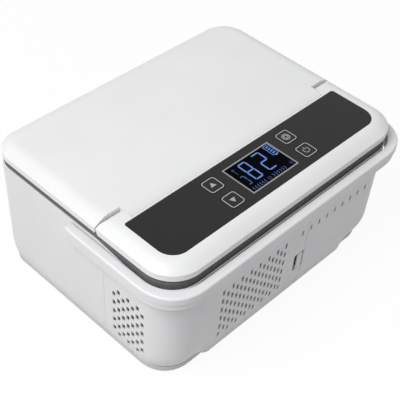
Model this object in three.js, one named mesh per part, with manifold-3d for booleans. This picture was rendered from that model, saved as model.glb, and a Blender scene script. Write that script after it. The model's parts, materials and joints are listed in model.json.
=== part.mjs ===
// Insulin cooling case: a small thermoelectric cold box with a hinged lid, control panel and battery pack.
// Millimetres. X runs along the long side, the control side faces -Y and Z is up.
// The origin is on the standing surface, under the middle of the outside box.

import * as THREE from 'three';
import { mergeVertices } from 'three/addons/utils/BufferGeometryUtils.js';
import Module from 'manifold-3d';

const wasm = await Module();
wasm.setup();

// Case walls
const CASE_LENGTH = 211.5; // over the walls at their top edge, along X
const CASE_DEPTH = 159.9; // over the walls at their top edge, along Y
const FRONT_RADIUS = 22; // upright corners on the control side
const REAR_RADIUS = 18; // upright corners at the back
const WALL = 2.4;
const WALL_LEAN = 1.8; // how far a wall leans in from its top to the lower bend
const SEAM_INSET = 3.6; // how far the wall is drawn in at the base seam
const LOWER_BEND = 7; // height of the bend above the base seam
const SHELL_HEIGHT = 81;
const FLANGE_WIDTH = 7.5; // inward flange round the top of the shell
const FLANGE_THICKNESS = 2.5;
const GAP = 0.3; // clearance between pieces that are cut to each other
const SEAM_GAP = 0.4; // open seam round the covers and along the lid

// Base and feet
const FOOT_HEIGHT = 1.5;
const FOOT_RADIUS = 6;
const FOOT_INSET = 22; // foot centre from the case's sides
const BASE_HEIGHT = 7;
const BASE_FLOOR = 3;
const BASE_LEAN = 0.6; // how far the base draws in from the seam to its underside
const BASE_STEP = 0.3; // base set back from the wall at the seam
const SKIRT_DROP = 4.4; // front covers hang over the base seam by this much
const SKIRT_END = 31.5; // from the case's side to the end of that overhang
const SKIRT_LEAN = 0.6;

// Base screws and their posts
const POST_RADIUS = 4;
const POST_HEIGHT = 14;
const POST_CAP = 1.5; // solid top of a post, above its pilot hole
const POST_SIDE_INSET = 33; // post centre from the case's side
const POST_BITE = 1; // how far a front post runs into the bulkhead
const POST_REAR_INSET = 12; // rear post centre from the case's back
const WEB_THICKNESS = 2.4; // web from a rear post to the rear wall
const SCREW_RADIUS = 1.4;
const SCREW_LENGTH = 15;
const SCREW_HEAD_RADIUS = 3;
const SCREW_HEAD_HEIGHT = 1.6;
const SCREW_RECESS = 0.6; // head below the base's underside

// Front bay: bulkhead, vent cover, snap tab
const BAY_DEPTH = 56; // front of the case to the covers' side seams
const BULKHEAD_SETBACK = 0.6; // bulkhead behind the side seams
const BULKHEAD_THICKNESS = 2;
const COVER_DROP = 14.5; // covers' top edge below the shell's rim
const SLOT_WIDTH = 2.1;
const SLOT_HEIGHT = 4.1;
const SLOT_PITCH = 4.05; // column to column, each column half a row lower or higher than the last
const SLOT_ROW_PITCH = 8;
const SLOT_TOP_DROP = 18.5; // first row below the covers' top edge
const SLOT_FOOT_MARGIN = 6; // least distance from the last row to the base seam
const FRONT_SLOT_MARGIN = 22; // from the corner to the front slots
const FRONT_SLOT_TO_SEAM = 21.8; // last full column to the front seam
const SIDE_SLOT_TO_SEAM = 8.9; // first column to the left seam
const TAB_WIDTH = 5;
const TAB_HEIGHT = 13.6;
const TAB_FOOT = 14.6; // tab's lower edge above the base seam
const TAB_SIDE_GAP = 3.3; // finger gap on the tab's left
const TAB_TOP_GAP = 1;
const TAB_RIGHT_GAP = 0.8;
const TAB_HOOK = 2;

// Battery pack
const CELL_RADIUS = 9;
const CELL_LENGTH = 65;
const CELL_GAP = 0.2;
const PACK_WALL = 1.5;
const PACK_END_ROOM = 1; // room at each end of a cell
const PACK_SIDE_MARGIN = 13.5; // pack case from the case's right side
const PACK_SEAM_MARGIN = 2.5; // pack case from the front seam
const PACK_FOOT = 1.5; // pack case above the base seam
const PACK_FRONT = 9; // pack case behind the case's front
const PACK_RIB = 2; // ribs between the pack's cover and its case
const PACK_RIB_SPACING = 40;
const PACK_LID = 1.5;
const CONTACT_LENGTH = 12;
const CONTACT_HEIGHT = 6;
const CONTACT_THICKNESS = 0.8;
const SOCKET_MARGIN = 2; // battery socket beyond the contacts all round

// Cold chamber
const SIDE_FOAM = 13; // insulation beside, in front of, behind and under the tub
const FRONT_FOAM = 9.5;
const REAR_FOAM = 18;
const FLOOR_FOAM = 18;
const TUB_WALL = 1.2;
const TUB_RADIUS = 10;
const TUB_FLANGE = 6;
const DECK_THICKNESS = 2.5;
const DECK_DROP = 1.5; // deck's top below the rim
const FOAM_STEP = 0.6; // insulation drawn in beside the base

// Thermoelectric pack
const MODULE_SIZE = 40;
const MODULE_THICKNESS = 3.8;
const COLD_BLOCK_LENGTH = 12.5; // tub to module
const SINK_WIDTH = 60;
const SINK_HEIGHT = 52;
const SINK_BASE = 4;
const SINK_FOOT = 2; // heat sink above the base seam
const FIN_COUNT = 11;
const FIN_THICKNESS = 1.4;
const FAN_SIZE = 50;
const FAN_THICKNESS = 15;
const FAN_SETBACK = 5.75; // fan's front from the case's front
const FAN_RIM = 1.5; // frame round the fan's bore at its narrowest
const HUB_RADIUS = 10;
const HUB_DEPTH = 8;
const HUB_PLATE = 2.5;
const STRUT_WIDTH = 3;
const BLADE_COUNT = 7;
const BLADE_GAP = 1.5; // blade tips to the bore
const BLADE_CHORD = 10;
const BLADE_THICKNESS = 1;
const BLADE_ANGLE = 38; // degrees
const SPINDLE_RADIUS = 2;

// Boards and supply socket
const BOARD_THICKNESS = 1.6;
const POWER_BOARD_LENGTH = 110;
const POWER_BOARD_DEPTH = 42;
const POWER_BOARD_DROP = 9; // power board's underside below the deck's underside
const LEDGE_WIDTH = 6;
const LEDGE_HEIGHT = 4;
const LEDGE_SPACING = 86;
const DC_RADIUS = 4.5;
const DC_HOLE = 2; // radius of the socket's hole
const DC_DEPTH = 9;
const DC_HEIGHT = 24; // above the base seam
const DC_SIDE_INSET = 30; // from the case's side

// Top: gasket, lid and control housing share one outline
const GASKET_HEIGHT = 3.3;
const GASKET_INSET = 1.6;
const GASKET_WIDTH = 5;
const TOP_HEIGHT = 8.7;
const TOP_EDGE = 4.2; // upright lower edge
const TOP_BEVEL = 8; // width of the sloped shoulder
const BEVEL_CROWN = 0.35; // how far the slope bulges at its middle
const BEVEL_STEPS = 4;
const CONTROL_DEPTH = 51.6; // front of the case to the lid seam
const EAR_WIDTH = 18.7;
const EAR_GAP = 0.4;
const KNUCKLE_RADIUS = 4.75;
const EAR_RADIUS = 4.75;
const SHOULDER_GAP = 0.7; // lid shoulder behind the ear
const SEAM_CHAMFER = 1.2;
const PIN_RADIUS = 1.5;
const PIN_REACH = 8; // pin length on each side of the ear's inner face
const LID_SKIN = 2;
const LID_FLANGE = 1.6; // inward flange under the lid, which carries the liner
const LINER_THICKNESS = 2;
const LINER_MARGIN = 1.2; // liner inside the gasket
const LINER_LAP = 3; // liner over the lid's flange
const LINER_RADIUS = 10;
const PLUG_CLEARANCE = 2.5;
const PLUG_DEPTH = 7;
const SEAL_OFFSET = 1.2; // seal outside the tub's wall
const SEAL_WIDTH = 2.5;
const MAGNET_LENGTH = 24;
const MAGNET_WIDTH = 5;

// Control panel
const PANEL_SIDE_MARGIN = 11.5;
const PANEL_REAR_MARGIN = 1.6;
const PANEL_DEPTH = 38.5;
const PANEL_THICKNESS = 1.1;
const PANEL_SINK = 0.1; // panel's face below the housing's top
const PANEL_FRONT_RADIUS = 11.5;
const PANEL_REAR_RADIUS = 1.5;
const HOUSING_SKIN = 2.5;
const DISPLAY_LENGTH = 41.4;
const DISPLAY_DEPTH = 26.8;
const BEZEL_WIDTH = 1.1;
const BEZEL_HEIGHT = 3.2;
const KEY_SIZE = 11.8;
const KEY_RADIUS = 2.6;
const KEY_SPACING_X = 67;
const KEY_SPACING_Y = 16.7;
const KEY_FLANGE = 0.9; // flange beyond the cap
const KEY_FLANGE_HEIGHT = 1;
const KEY_TRAVEL = 0.5;
const SWITCH_SIZE = 6;
const SWITCH_HEIGHT = 3;
const CONTROL_BOARD_LENGTH = 124;
const CONTROL_BOARD_DEPTH = 32;
const BOSS_RADIUS = 2.6;
const BOSS_INSET = 4;

// Carry handle
const HANDLE_GAP = 1.8; // handle to wall, so that its front bar swings up past the housing
const HANDLE_REACH = 7.6; // handle's outer face from the wall
const HANDLE_STEP = 1; // lower part set in from the bead
const HANDLE_CORNER = 23; // outer radius of the handle's corners
const HANDLE_HEIGHT = 11;
const BEAD_HEIGHT = 6;
const BEAD_ROUND = 1.3;
const BEAD_STEPS = 2;
const HANDLE_DROP = 2; // handle's top below the rim
const ARM_END_REACH = 5.6; // arm's outer face from the wall at its end
const ARM_TAPER = 4; // from the pivot to where the arm starts to thin
const HANDLE_PIN_RADIUS = 2.2;
const HANDLE_PIN_REACH = 2.2; // pin beyond the handle's inner face

// Facets
const CORNER_STEPS = 6;
const SMALL_CORNER_STEPS = 3;
const SMALL_CORNER = 4; // radius up to which a corner gets the smaller number of steps
const ROUND_SIDES = 16;
const SMALL_SIDES = 10;
const LEAST_RADIUS = 0.4;
const PAST = 1; // how far a cutter runs past what it cuts

// Levels and planes that follow from the sizes
const zBase = FOOT_HEIGHT;
const zSeam = zBase + BASE_HEIGHT;
const zSkirt = zSeam - SKIRT_DROP;
const zRim = zSeam + SHELL_HEIGHT;
const zUnder = zRim + GASKET_HEIGHT;
const zTop = zUnder + TOP_HEIGHT;
const zCoverTop = zRim - COVER_DROP;
const zDeckTop = zRim - DECK_DROP;
const zDeck = zDeckTop - DECK_THICKNESS;
const zLidUnder = zUnder + GAP;
const halfLength = CASE_LENGTH / 2;
const halfDepth = CASE_DEPTH / 2;
const ySideSeam = -halfDepth + BAY_DEPTH;
const bulkheadY = [ySideSeam + BULKHEAD_SETBACK, ySideSeam + BULKHEAD_SETBACK + BULKHEAD_THICKNESS];
const yLidSeam = -halfDepth + CONTROL_DEPTH;
const hingeY = yLidSeam + SEAM_GAP + KNUCKLE_RADIUS;
const hingeZ = zTop - KNUCKLE_RADIUS;
const earX = halfLength - EAR_WIDTH;
const lidMiddleX = earX - EAR_GAP;
const shoulderY = hingeY + EAR_RADIUS + SHOULDER_GAP;
const packLength = CELL_LENGTH + 2 * (PACK_WALL + PACK_END_ROOM);
const packX = [halfLength - PACK_SIDE_MARGIN - packLength, halfLength - PACK_SIDE_MARGIN];
const xFrontSeam = packX[0] - PACK_SEAM_MARGIN;
const casePlan = plan([-halfLength, halfLength], [-halfDepth, halfDepth], FRONT_RADIUS, REAR_RADIUS);
const everyX = [-halfLength - PAST, halfLength + PAST];
const everyZ = [zBase - PAST, zTop + PAST];

const tubX = halfLength - WALL - SIDE_FOAM;
const tubY = [bulkheadY[1] + GAP + FRONT_FOAM, halfDepth - WALL - REAR_FOAM];
const tubPlan = plan([-tubX, tubX], tubY, TUB_RADIUS, TUB_RADIUS);
const zTub = zBase + BASE_FLOOR + FLOOR_FOAM;

const panelY = [yLidSeam - PANEL_REAR_MARGIN - PANEL_DEPTH, yLidSeam - PANEL_REAR_MARGIN];
const panelMiddle = (panelY[0] + panelY[1]) / 2;
const zPanelSeat = zTop - PANEL_SINK - PANEL_THICKNESS;
const zPlate = zTop - HOUSING_SKIN;
const zKeyFlange = zPlate - GAP;
const zKey = zKeyFlange - KEY_FLANGE_HEIGHT;
const zSwitch = zKey - KEY_TRAVEL - GAP / 2;
const zControlBoard = zSwitch - SWITCH_HEIGHT;
const zBezel = zTop - PANEL_SINK - BEZEL_HEIGHT;
const keyPlaces = {
  up: [-KEY_SPACING_X / 2, panelMiddle + KEY_SPACING_Y / 2],
  down: [-KEY_SPACING_X / 2, panelMiddle - KEY_SPACING_Y / 2],
  mode: [KEY_SPACING_X / 2, panelMiddle + KEY_SPACING_Y / 2],
  power: [KEY_SPACING_X / 2, panelMiddle - KEY_SPACING_Y / 2],
};

const zFirstRow = zCoverTop - SLOT_TOP_DROP;
const rowCount = 1 + Math.floor((zFirstRow - zSeam - SLOT_FOOT_MARGIN) / SLOT_ROW_PITCH);
const frontSlotEnd = xFrontSeam - FRONT_SLOT_TO_SEAM;
const frontSlotRoom = frontSlotEnd + halfLength - FRONT_RADIUS - FRONT_SLOT_MARGIN;
const frontColumns = 1 + 2 * Math.floor(frontSlotRoom / (2 * SLOT_PITCH));
const frontSlotStart = frontSlotEnd - (frontColumns - 1) * SLOT_PITCH;
const sideSlotStart = ySideSeam - SIDE_SLOT_TO_SEAM;
const sideColumns = 1 + Math.floor((sideSlotStart + halfDepth - FRONT_RADIUS) / SLOT_PITCH);

const fanX = (frontSlotStart + frontSlotEnd) / 2;
const fanZ = zSeam + SINK_FOOT + SINK_HEIGHT / 2;
const fanY = [-halfDepth + FAN_SETBACK, -halfDepth + FAN_SETBACK + FAN_THICKNESS];
const fanBore = FAN_SIZE / 2 - FAN_RIM;
const bladeRadius = fanBore - BLADE_GAP;
const spindleTip = fanY[1] - HUB_PLATE - HUB_DEPTH / 2;
const coldBlockY = [tubY[0] - COLD_BLOCK_LENGTH, tubY[0]];
const moduleY = [coldBlockY[0] - MODULE_THICKNESS, coldBlockY[0]];
const sinkY = [fanY[1], moduleY[0]];

const handleZ = [zRim - HANDLE_DROP - HANDLE_HEIGHT, zRim - HANDLE_DROP];
const pivotZ = (handleZ[0] + handleZ[1]) / 2;
const pivotInnerX = halfLength - wallInset(pivotZ) - WALL;

const packZ0 = zSeam + PACK_FOOT;
const cellStep = 2 * CELL_RADIUS + CELL_GAP;
const packHeight = PACK_WALL + 2 * cellStep + CELL_GAP;
const packZ = [packZ0, packZ0 + packHeight];
const packFrontY = -halfDepth + PACK_FRONT;
const cellBayY = [packFrontY + PACK_WALL + CELL_GAP, packFrontY + PACK_WALL + 2 * CELL_GAP + 2 * cellStep];
const packY = [packFrontY, cellBayY[1] + PACK_WALL];
const contactX = (packX[0] + packX[1]) / 2;
const contactZ = (packZ[0] + packZ[1]) / 2;

// A rounded rectangle seen from above, with one radius for its two front corners and one for the rear two.
function plan(x, y, front, rear) {
  return { x, y, front, rear };
}

// The plan grown outwards by a distance, with its radii.
function grown({ x, y, front, rear }, by) {
  return plan([x[0] - by, x[1] + by], [y[0] - by, y[1] + by], front + by, rear + by);
}

// How far the outer wall is drawn in at a height.
function wallInset(z) {
  const bend = zSeam + LOWER_BEND;
  if (z >= bend) return (WALL_LEAN * (zRim - z)) / (zRim - bend);
  if (z >= zSeam) return WALL_LEAN + ((SEAM_INSET - WALL_LEAN) * (bend - z)) / LOWER_BEND;
  return SEAM_INSET + (SKIRT_LEAN * (zSeam - z)) / SKIRT_DROP;
}

// A closed solid from a closed three.js geometry.
function solidOf(geometry) {
  geometry.deleteAttribute('normal');
  geometry.deleteAttribute('uv');
  const merged = mergeVertices(geometry);
  const mesh = new wasm.Mesh({
    numProp: 3,
    vertProperties: new Float32Array(merged.attributes.position.array),
    triVerts: new Uint32Array(merged.index.array),
  });
  return new wasm.Manifold(mesh);
}

function join(...solids) {
  return solids.reduce((sum, next) => sum.add(next));
}

function cut(solid, ...tools) {
  return tools.reduce((rest, tool) => rest.subtract(tool), solid);
}

function block([x0, x1], [y0, y1], [z0, z1]) {
  const geometry = new THREE.BoxGeometry(x1 - x0, y1 - y0, z1 - z0);
  geometry.translate((x0 + x1) / 2, (y0 + y1) / 2, (z0 + z1) / 2);
  return solidOf(geometry);
}

// A block centred on x and y.
function pad([x, y], [sizeX, sizeY], z) {
  return block([x - sizeX / 2, x + sizeX / 2], [y - sizeY / 2, y + sizeY / 2], z);
}

// Round rods. Each takes its span along its own axis and its place on the other two.
function rodX(radius, [from, to], y, z, sides = ROUND_SIDES) {
  const geometry = new THREE.CylinderGeometry(radius, radius, to - from, sides);
  geometry.rotateZ(-Math.PI / 2);
  geometry.translate((from + to) / 2, y, z);
  return solidOf(geometry);
}

function rodY(radius, [from, to], x, z, sides = ROUND_SIDES) {
  const geometry = new THREE.CylinderGeometry(radius, radius, to - from, sides);
  geometry.translate(x, (from + to) / 2, z);
  return solidOf(geometry);
}

function rodZ(radius, [from, to], x, y, sides = ROUND_SIDES) {
  const geometry = new THREE.CylinderGeometry(radius, radius, to - from, sides);
  geometry.rotateX(Math.PI / 2);
  geometry.translate(x, y, (from + to) / 2);
  return solidOf(geometry);
}

// The outline of a plan drawn in by an inset, anticlockwise from the front right corner.
function outline({ x, y, front, rear }, inset) {
  const corners = [[x[1], y[0], front], [x[1], y[1], rear], [x[0], y[1], rear], [x[0], y[0], front]];
  const signs = [[-1, 1], [-1, -1], [1, -1], [1, 1]];
  return corners.flatMap(([cornerX, cornerY, cornerRadius], corner) => {
    const radius = Math.max(cornerRadius - inset, LEAST_RADIUS);
    const centreX = cornerX + signs[corner][0] * (inset + radius);
    const centreY = cornerY + signs[corner][1] * (inset + radius);
    const steps = cornerRadius > SMALL_CORNER ? CORNER_STEPS : SMALL_CORNER_STEPS;
    return Array.from({ length: steps + 1 }, (_, step) => {
      const angle = ((corner - 1 + step / steps) * Math.PI) / 2;
      return new THREE.Vector2(centreX + radius * Math.cos(angle), centreY + radius * Math.sin(angle));
    });
  });
}

// A solid through a plan's outlines at several levels, each level an inset and a height, from the lowest up.
function loft(shape, levels) {
  const rings = levels.map(([inset, z]) => outline(shape, inset).map(({ x, y }) => [x, y, z]));
  const count = rings[0].length;
  const index = [];
  for (let level = 0; level + 1 < rings.length; level += 1) {
    for (let i = 0; i < count; i += 1) {
      const a = level * count + i;
      const b = level * count + ((i + 1) % count);
      index.push(a, b, b + count, a, b + count, a + count);
    }
  }
  const top = (rings.length - 1) * count;
  for (let i = 1; i + 1 < count; i += 1) {
    index.push(0, i + 1, i, top, top + i, top + i + 1);
  }
  const geometry = new THREE.BufferGeometry();
  geometry.setAttribute('position', new THREE.Float32BufferAttribute(rings.flat(2), 3));
  geometry.setIndex(index);
  return solidOf(geometry);
}

function slab(shape, z, inset = 0) {
  return loft(shape, [[inset, z[0]], [inset, z[1]]]);
}

// Inside of the wall, or any surface a set distance inside the wall's outer face.
function wallLoft(extra, zFrom, zTo) {
  const levels = [zFrom, zSeam, zSeam + LOWER_BEND, zTo];
  return loft(casePlan, levels.map((z) => [wallInset(Math.min(z, zRim)) + extra, z]));
}

function wallTube() {
  return wallLoft(0, zSkirt, zRim).subtract(wallLoft(WALL, zSkirt - PAST, zRim + PAST));
}

// The space of the front covers between two X values, with its overhang below the base seam.
function coverSpace([x0, x1], inset) {
  const skirtX = halfLength - SKIRT_END - inset;
  const front = [-halfDepth - PAST, -halfDepth + FRONT_RADIUS];
  const upper = block(
    [x0 + inset, x1 - inset],
    [-halfDepth - PAST, ySideSeam - inset],
    [zSeam + inset, zCoverTop - inset],
  );
  const skirt = block(
    [Math.max(x0 + inset, -skirtX), Math.min(x1 - inset, skirtX)],
    front,
    [zSkirt - PAST, zSeam + 2 * inset],
  );
  return upper.add(skirt);
}

const leftCoverX = [-halfLength - PAST, xFrontSeam];
const rightCoverX = [xFrontSeam, halfLength + PAST];

function postPlaces() {
  const x = halfLength - POST_SIDE_INSET;
  const rearY = halfDepth - POST_REAR_INSET;
  const frontY = bulkheadY[0] - POST_RADIUS + POST_BITE;
  return [[-x, frontY], [x, frontY], [-x, rearY], [x, rearY]];
}

// A base screw's post, with a web back to the rear wall on the two that stand clear of the bulkhead.
function post([x, y], extra) {
  const z = [zSeam, zSeam + POST_HEIGHT + extra];
  const column = rodZ(POST_RADIUS + extra, z, x, y);
  if (y < 0) return column;
  return column.add(pad([x, y + POST_REAR_INSET / 2], [WEB_THICKNESS + 2 * extra, POST_REAR_INSET], z));
}

function outerShell() {
  const tube = cut(
    wallTube(),
    block(everyX, [-halfDepth - PAST, halfDepth + PAST], [zSkirt - PAST, zSeam]),
    block(everyX, [-halfDepth - PAST, ySideSeam], [zSeam - PAST, zCoverTop]),
  );
  const flange = cut(
    slab(casePlan, [zRim - FLANGE_THICKNESS, zRim], WALL / 2),
    slab(casePlan, [zRim - FLANGE_THICKNESS - PAST, zRim + PAST], FLANGE_WIDTH),
  );
  const insideWall = wallLoft(WALL / 2, zSeam - PAST, zRim);
  const bulkhead = block(everyX, bulkheadY, [zSeam, zDeck]).intersect(insideWall);
  const window = block(
    [fanX - MODULE_SIZE / 2 - GAP, fanX + MODULE_SIZE / 2 + GAP],
    [bulkheadY[0] - PAST, bulkheadY[1] + PAST],
    [fanZ - MODULE_SIZE / 2 - GAP, fanZ + MODULE_SIZE / 2 + GAP],
  );
  const posts = postPlaces().map((place) => post(place, 0).intersect(insideWall));
  const pilots = postPlaces().map(([x, y]) => (
    rodZ(SCREW_RADIUS + GAP, [zSeam - PAST, zSeam + POST_HEIGHT - POST_CAP], x, y, SMALL_SIDES)
  ));
  const ledgeTop = zDeck - POWER_BOARD_DROP;
  const ledges = [-1, 1].map((side) => block(
    [side * LEDGE_SPACING / 2 - LEDGE_WIDTH / 2, side * LEDGE_SPACING / 2 + LEDGE_WIDTH / 2],
    [bulkheadY[0] - POWER_BOARD_DEPTH, bulkheadY[0] + PAST],
    [ledgeTop - LEDGE_HEIGHT, ledgeTop],
  ));
  const pinHoles = rodX(HANDLE_PIN_RADIUS + GAP, everyX, 0, pivotZ);
  const inside = [-pivotInnerX + PAST, pivotInnerX - PAST];
  const pinHolesInWalls = pinHoles.subtract(block(inside, [-FRONT_RADIUS, FRONT_RADIUS], everyZ));
  const socketHole = rodY(DC_RADIUS + GAP, [halfDepth - FLANGE_WIDTH, halfDepth + PAST], ...dcPlace());
  return cut(
    join(tube, flange, bulkhead, ...posts, ...ledges),
    window,
    ...pilots,
    pinHolesInWalls,
    socketHole,
  );
}

function dcPlace() {
  return [halfLength - DC_SIDE_INSET, zSeam + DC_HEIGHT];
}

function basePlate() {
  const inset = SEAM_INSET + BASE_STEP;
  const body = loft(casePlan, [[inset + BASE_LEAN, zBase], [inset, zSeam]]);
  const hollow = slab(casePlan, [zBase + BASE_FLOOR, zSeam + PAST], inset + WALL);
  const notchX = halfLength - SKIRT_END;
  const notchY = -halfDepth + SEAM_INSET + SKIRT_LEAN + WALL + GAP;
  const notch = block([-notchX, notchX], [-halfDepth, notchY], everyZ);
  const bosses = postPlaces().map(([x, y]) => rodZ(POST_RADIUS, [zBase + PAST, zSeam], x, y));
  const holes = postPlaces().map(([x, y]) => join(
    rodZ(SCREW_RADIUS + GAP, [zBase - PAST, zSeam + PAST], x, y, SMALL_SIDES),
    rodZ(SCREW_HEAD_RADIUS + GAP, [zBase - PAST, zBase + SCREW_RECESS + SCREW_HEAD_HEIGHT], x, y),
  ));
  return cut(join(body.subtract(hollow), ...bosses), notch, ...holes);
}

function baseScrew([x, y]) {
  const headTop = zBase + SCREW_RECESS + SCREW_HEAD_HEIGHT;
  return join(
    rodZ(SCREW_HEAD_RADIUS, [zBase + SCREW_RECESS, headTop], x, y),
    rodZ(SCREW_RADIUS, [headTop - SCREW_HEAD_HEIGHT / 2, headTop + SCREW_LENGTH], x, y, SMALL_SIDES),
  );
}

function frontSlot(x, z) {
  const reach = [-halfDepth - PAST, -halfDepth + SEAM_INSET + WALL + PAST];
  return block([x - SLOT_WIDTH / 2, x + SLOT_WIDTH / 2], reach, [z - SLOT_HEIGHT / 2, z + SLOT_HEIGHT / 2]);
}

function sideSlot(y, z) {
  const reach = [-halfLength - PAST, -halfLength + SEAM_INSET + WALL + PAST];
  return block(reach, [y - SLOT_WIDTH / 2, y + SLOT_WIDTH / 2], [z - SLOT_HEIGHT / 2, z + SLOT_HEIGHT / 2]);
}

// Heights of the slots in a column. A low column starts half a row lower and has one slot fewer.
function columnHeights(low) {
  const first = low ? zFirstRow - SLOT_ROW_PITCH / 2 : zFirstRow;
  return Array.from({ length: low ? rowCount - 1 : rowCount }, (_, row) => first - row * SLOT_ROW_PITCH);
}

// Single slots carry the top row on past the full columns, up to the right corner. The first one is left out.
function topRowPlaces() {
  const places = [];
  const end = halfLength - FRONT_RADIUS - 2 * SLOT_WIDTH;
  for (let x = frontSlotEnd + 4 * SLOT_PITCH; x < end; x += 2 * SLOT_PITCH) places.push(x);
  return places;
}

const tabX = [xFrontSeam - SEAM_GAP - TAB_RIGHT_GAP - TAB_WIDTH, xFrontSeam - SEAM_GAP - TAB_RIGHT_GAP];
const tabZ = [zSeam + TAB_FOOT, zSeam + TAB_FOOT + TAB_HEIGHT];

function ventCover() {
  const slots = [];
  for (let column = 0; column < frontColumns; column += 1) {
    const x = frontSlotStart + column * SLOT_PITCH;
    columnHeights(column % 2 === 1).forEach((z) => slots.push(frontSlot(x, z)));
  }
  for (let column = 0; column < sideColumns; column += 1) {
    const y = sideSlotStart - column * SLOT_PITCH;
    columnHeights(column % 2 === 0).forEach((z) => slots.push(sideSlot(y, z)));
  }
  const edge = xFrontSeam - SLOT_WIDTH;
  topRowPlaces().filter((x) => x < edge).forEach((x) => slots.push(frontSlot(x, zFirstRow)));
  const tabOpening = block(
    [tabX[0] - TAB_SIDE_GAP, xFrontSeam + PAST],
    [-halfDepth - PAST, -halfDepth + FRONT_RADIUS],
    [tabZ[0] - GAP, tabZ[1] + TAB_TOP_GAP],
  );
  const wall = wallTube().intersect(coverSpace(leftCoverX, SEAM_GAP));
  return cut(wall, wasm.Manifold.union(slots), tabOpening);
}

function releaseTab() {
  const tongue = wallTube().intersect(block(tabX, [-halfDepth - PAST, -halfDepth + FRONT_RADIUS], tabZ));
  const hookTop = tabZ[1] - TAB_TOP_GAP;
  const innerFace = -halfDepth + wallInset(hookTop) + WALL;
  const hook = block(
    [tabX[0] + TAB_WIDTH / 4, tabX[1] - TAB_WIDTH / 4],
    [innerFace - WALL / 2, innerFace + TAB_HOOK],
    [hookTop - TAB_HOOK, hookTop],
  );
  return tongue.add(hook);
}

function batteryPack() {
  const wall = wallTube().intersect(coverSpace(rightCoverX, SEAM_GAP));
  const edge = xFrontSeam + SLOT_WIDTH;
  const slots = topRowPlaces().filter((x) => x > edge).map((x) => frontSlot(x, zFirstRow));
  const body = block(packX, packY, packZ).intersect(wallLoft(WALL + GAP, zSkirt, zRim));
  const ribs = [-1, 1].map((side) => {
    const x = contactX + (side * PACK_RIB_SPACING) / 2;
    return block([x - PACK_RIB / 2, x + PACK_RIB / 2], [-halfDepth, packY[0] + PACK_WALL / 2], packZ);
  });
  const bay = block(
    [packX[0] + PACK_WALL, packX[1] - PACK_WALL],
    [packY[0] + PACK_WALL, packY[1] - PACK_WALL],
    [packZ[0] + PACK_WALL, packZ[1] + PAST],
  ).intersect(wallLoft(WALL + GAP + PACK_WALL, zSkirt, zRim));
  const joined = join(...ribs).intersect(wallLoft(WALL / 2, zSkirt, zRim));
  return join(cut(wall, ...slots), body, joined).subtract(bay);
}

function batteryLid() {
  return block(packX, packY, [packZ[1], packZ[1] + PACK_LID]).intersect(wallLoft(WALL + GAP, zSkirt, zRim));
}

function cell(row, layer) {
  const x = packX[0] + PACK_WALL + PACK_END_ROOM;
  const y = cellBayY[0] + CELL_RADIUS + row * cellStep;
  const z = packZ[0] + PACK_WALL + CELL_GAP + CELL_RADIUS + layer * cellStep;
  return rodX(CELL_RADIUS, [x, x + CELL_LENGTH], y, z);
}

function batteryContacts() {
  return block(
    [contactX - CONTACT_LENGTH / 2, contactX + CONTACT_LENGTH / 2],
    [packY[1], packY[1] + CONTACT_THICKNESS],
    [contactZ - CONTACT_HEIGHT / 2, contactZ + CONTACT_HEIGHT / 2],
  );
}

function batterySocket() {
  const halfX = CONTACT_LENGTH / 2 + SOCKET_MARGIN;
  const halfZ = CONTACT_HEIGHT / 2 + SOCKET_MARGIN;
  return block(
    [contactX - halfX, contactX + halfX],
    [packY[1] + CONTACT_THICKNESS + GAP, bulkheadY[0]],
    [contactZ - halfZ, contactZ + halfZ],
  );
}

function insulation() {
  const zFoot = zBase + BASE_FLOOR;
  const beside = SEAM_INSET + BASE_STEP + WALL + FOAM_STEP;
  const levels = [[beside, zFoot], [beside, zSeam], ...[zSeam + LOWER_BEND, zDeck].map((z) => (
    [wallInset(z) + WALL + GAP, z]
  ))];
  const tubSpace = slab(grown(tubPlan, GAP), [zTub - GAP, zDeck + PAST]);
  const front = block(everyX, [-halfDepth - PAST, bulkheadY[1] + GAP], everyZ);
  const posts = postPlaces().map((place) => (
    post(place, GAP).add(rodZ(POST_RADIUS + GAP, [zFoot - PAST, zSeam + PAST], ...place))
  ));
  const coldBlockSpace = block(
    [fanX - MODULE_SIZE / 2 - GAP, fanX + MODULE_SIZE / 2 + GAP],
    [bulkheadY[1] - PAST, tubY[0] + PAST],
    [fanZ - MODULE_SIZE / 2 - GAP, fanZ + MODULE_SIZE / 2 + GAP],
  );
  const [dcX, dcZ] = dcPlace();
  const dcSpace = rodY(DC_RADIUS + GAP, [halfDepth - WALL - DC_DEPTH - GAP, halfDepth + PAST], dcX, dcZ);
  return cut(loft(casePlan, levels), tubSpace, front, ...posts, coldBlockSpace, dcSpace);
}

function coldTub() {
  const flange = slab(grown(tubPlan, TUB_FLANGE), [zDeckTop, zDeckTop + TUB_WALL]);
  const body = slab(tubPlan, [zTub, zDeckTop + TUB_WALL]);
  return body.add(flange).subtract(slab(tubPlan, [zTub + TUB_WALL, zDeckTop + TUB_WALL + PAST], TUB_WALL));
}

const magnetY = tubY[1] + TUB_FLANGE + GAP + MAGNET_WIDTH / 2;

function chamberDeck() {
  const plate = slab(casePlan, [zDeck, zDeckTop], FLANGE_WIDTH + GAP);
  const tubHole = slab(grown(tubPlan, GAP), [zDeck - PAST, zDeckTop + PAST]);
  const front = block(everyX, [-halfDepth - PAST, yLidSeam], everyZ);
  const pocket = pad(
    [0, magnetY],
    [MAGNET_LENGTH + 2 * GAP, MAGNET_WIDTH + GAP],
    [zDeckTop - DECK_THICKNESS / 2, zDeckTop + PAST],
  );
  return cut(plate, tubHole, front, pocket);
}

function deckMagnet() {
  return pad([0, magnetY], [MAGNET_LENGTH, MAGNET_WIDTH - GAP], [zDeckTop - DECK_THICKNESS / 2, zDeckTop]);
}

function gasket() {
  return cut(
    slab(casePlan, [zRim, zUnder], GASKET_INSET),
    slab(casePlan, [zRim - PAST, zUnder + PAST], GASKET_INSET + GASKET_WIDTH),
  );
}

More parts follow.
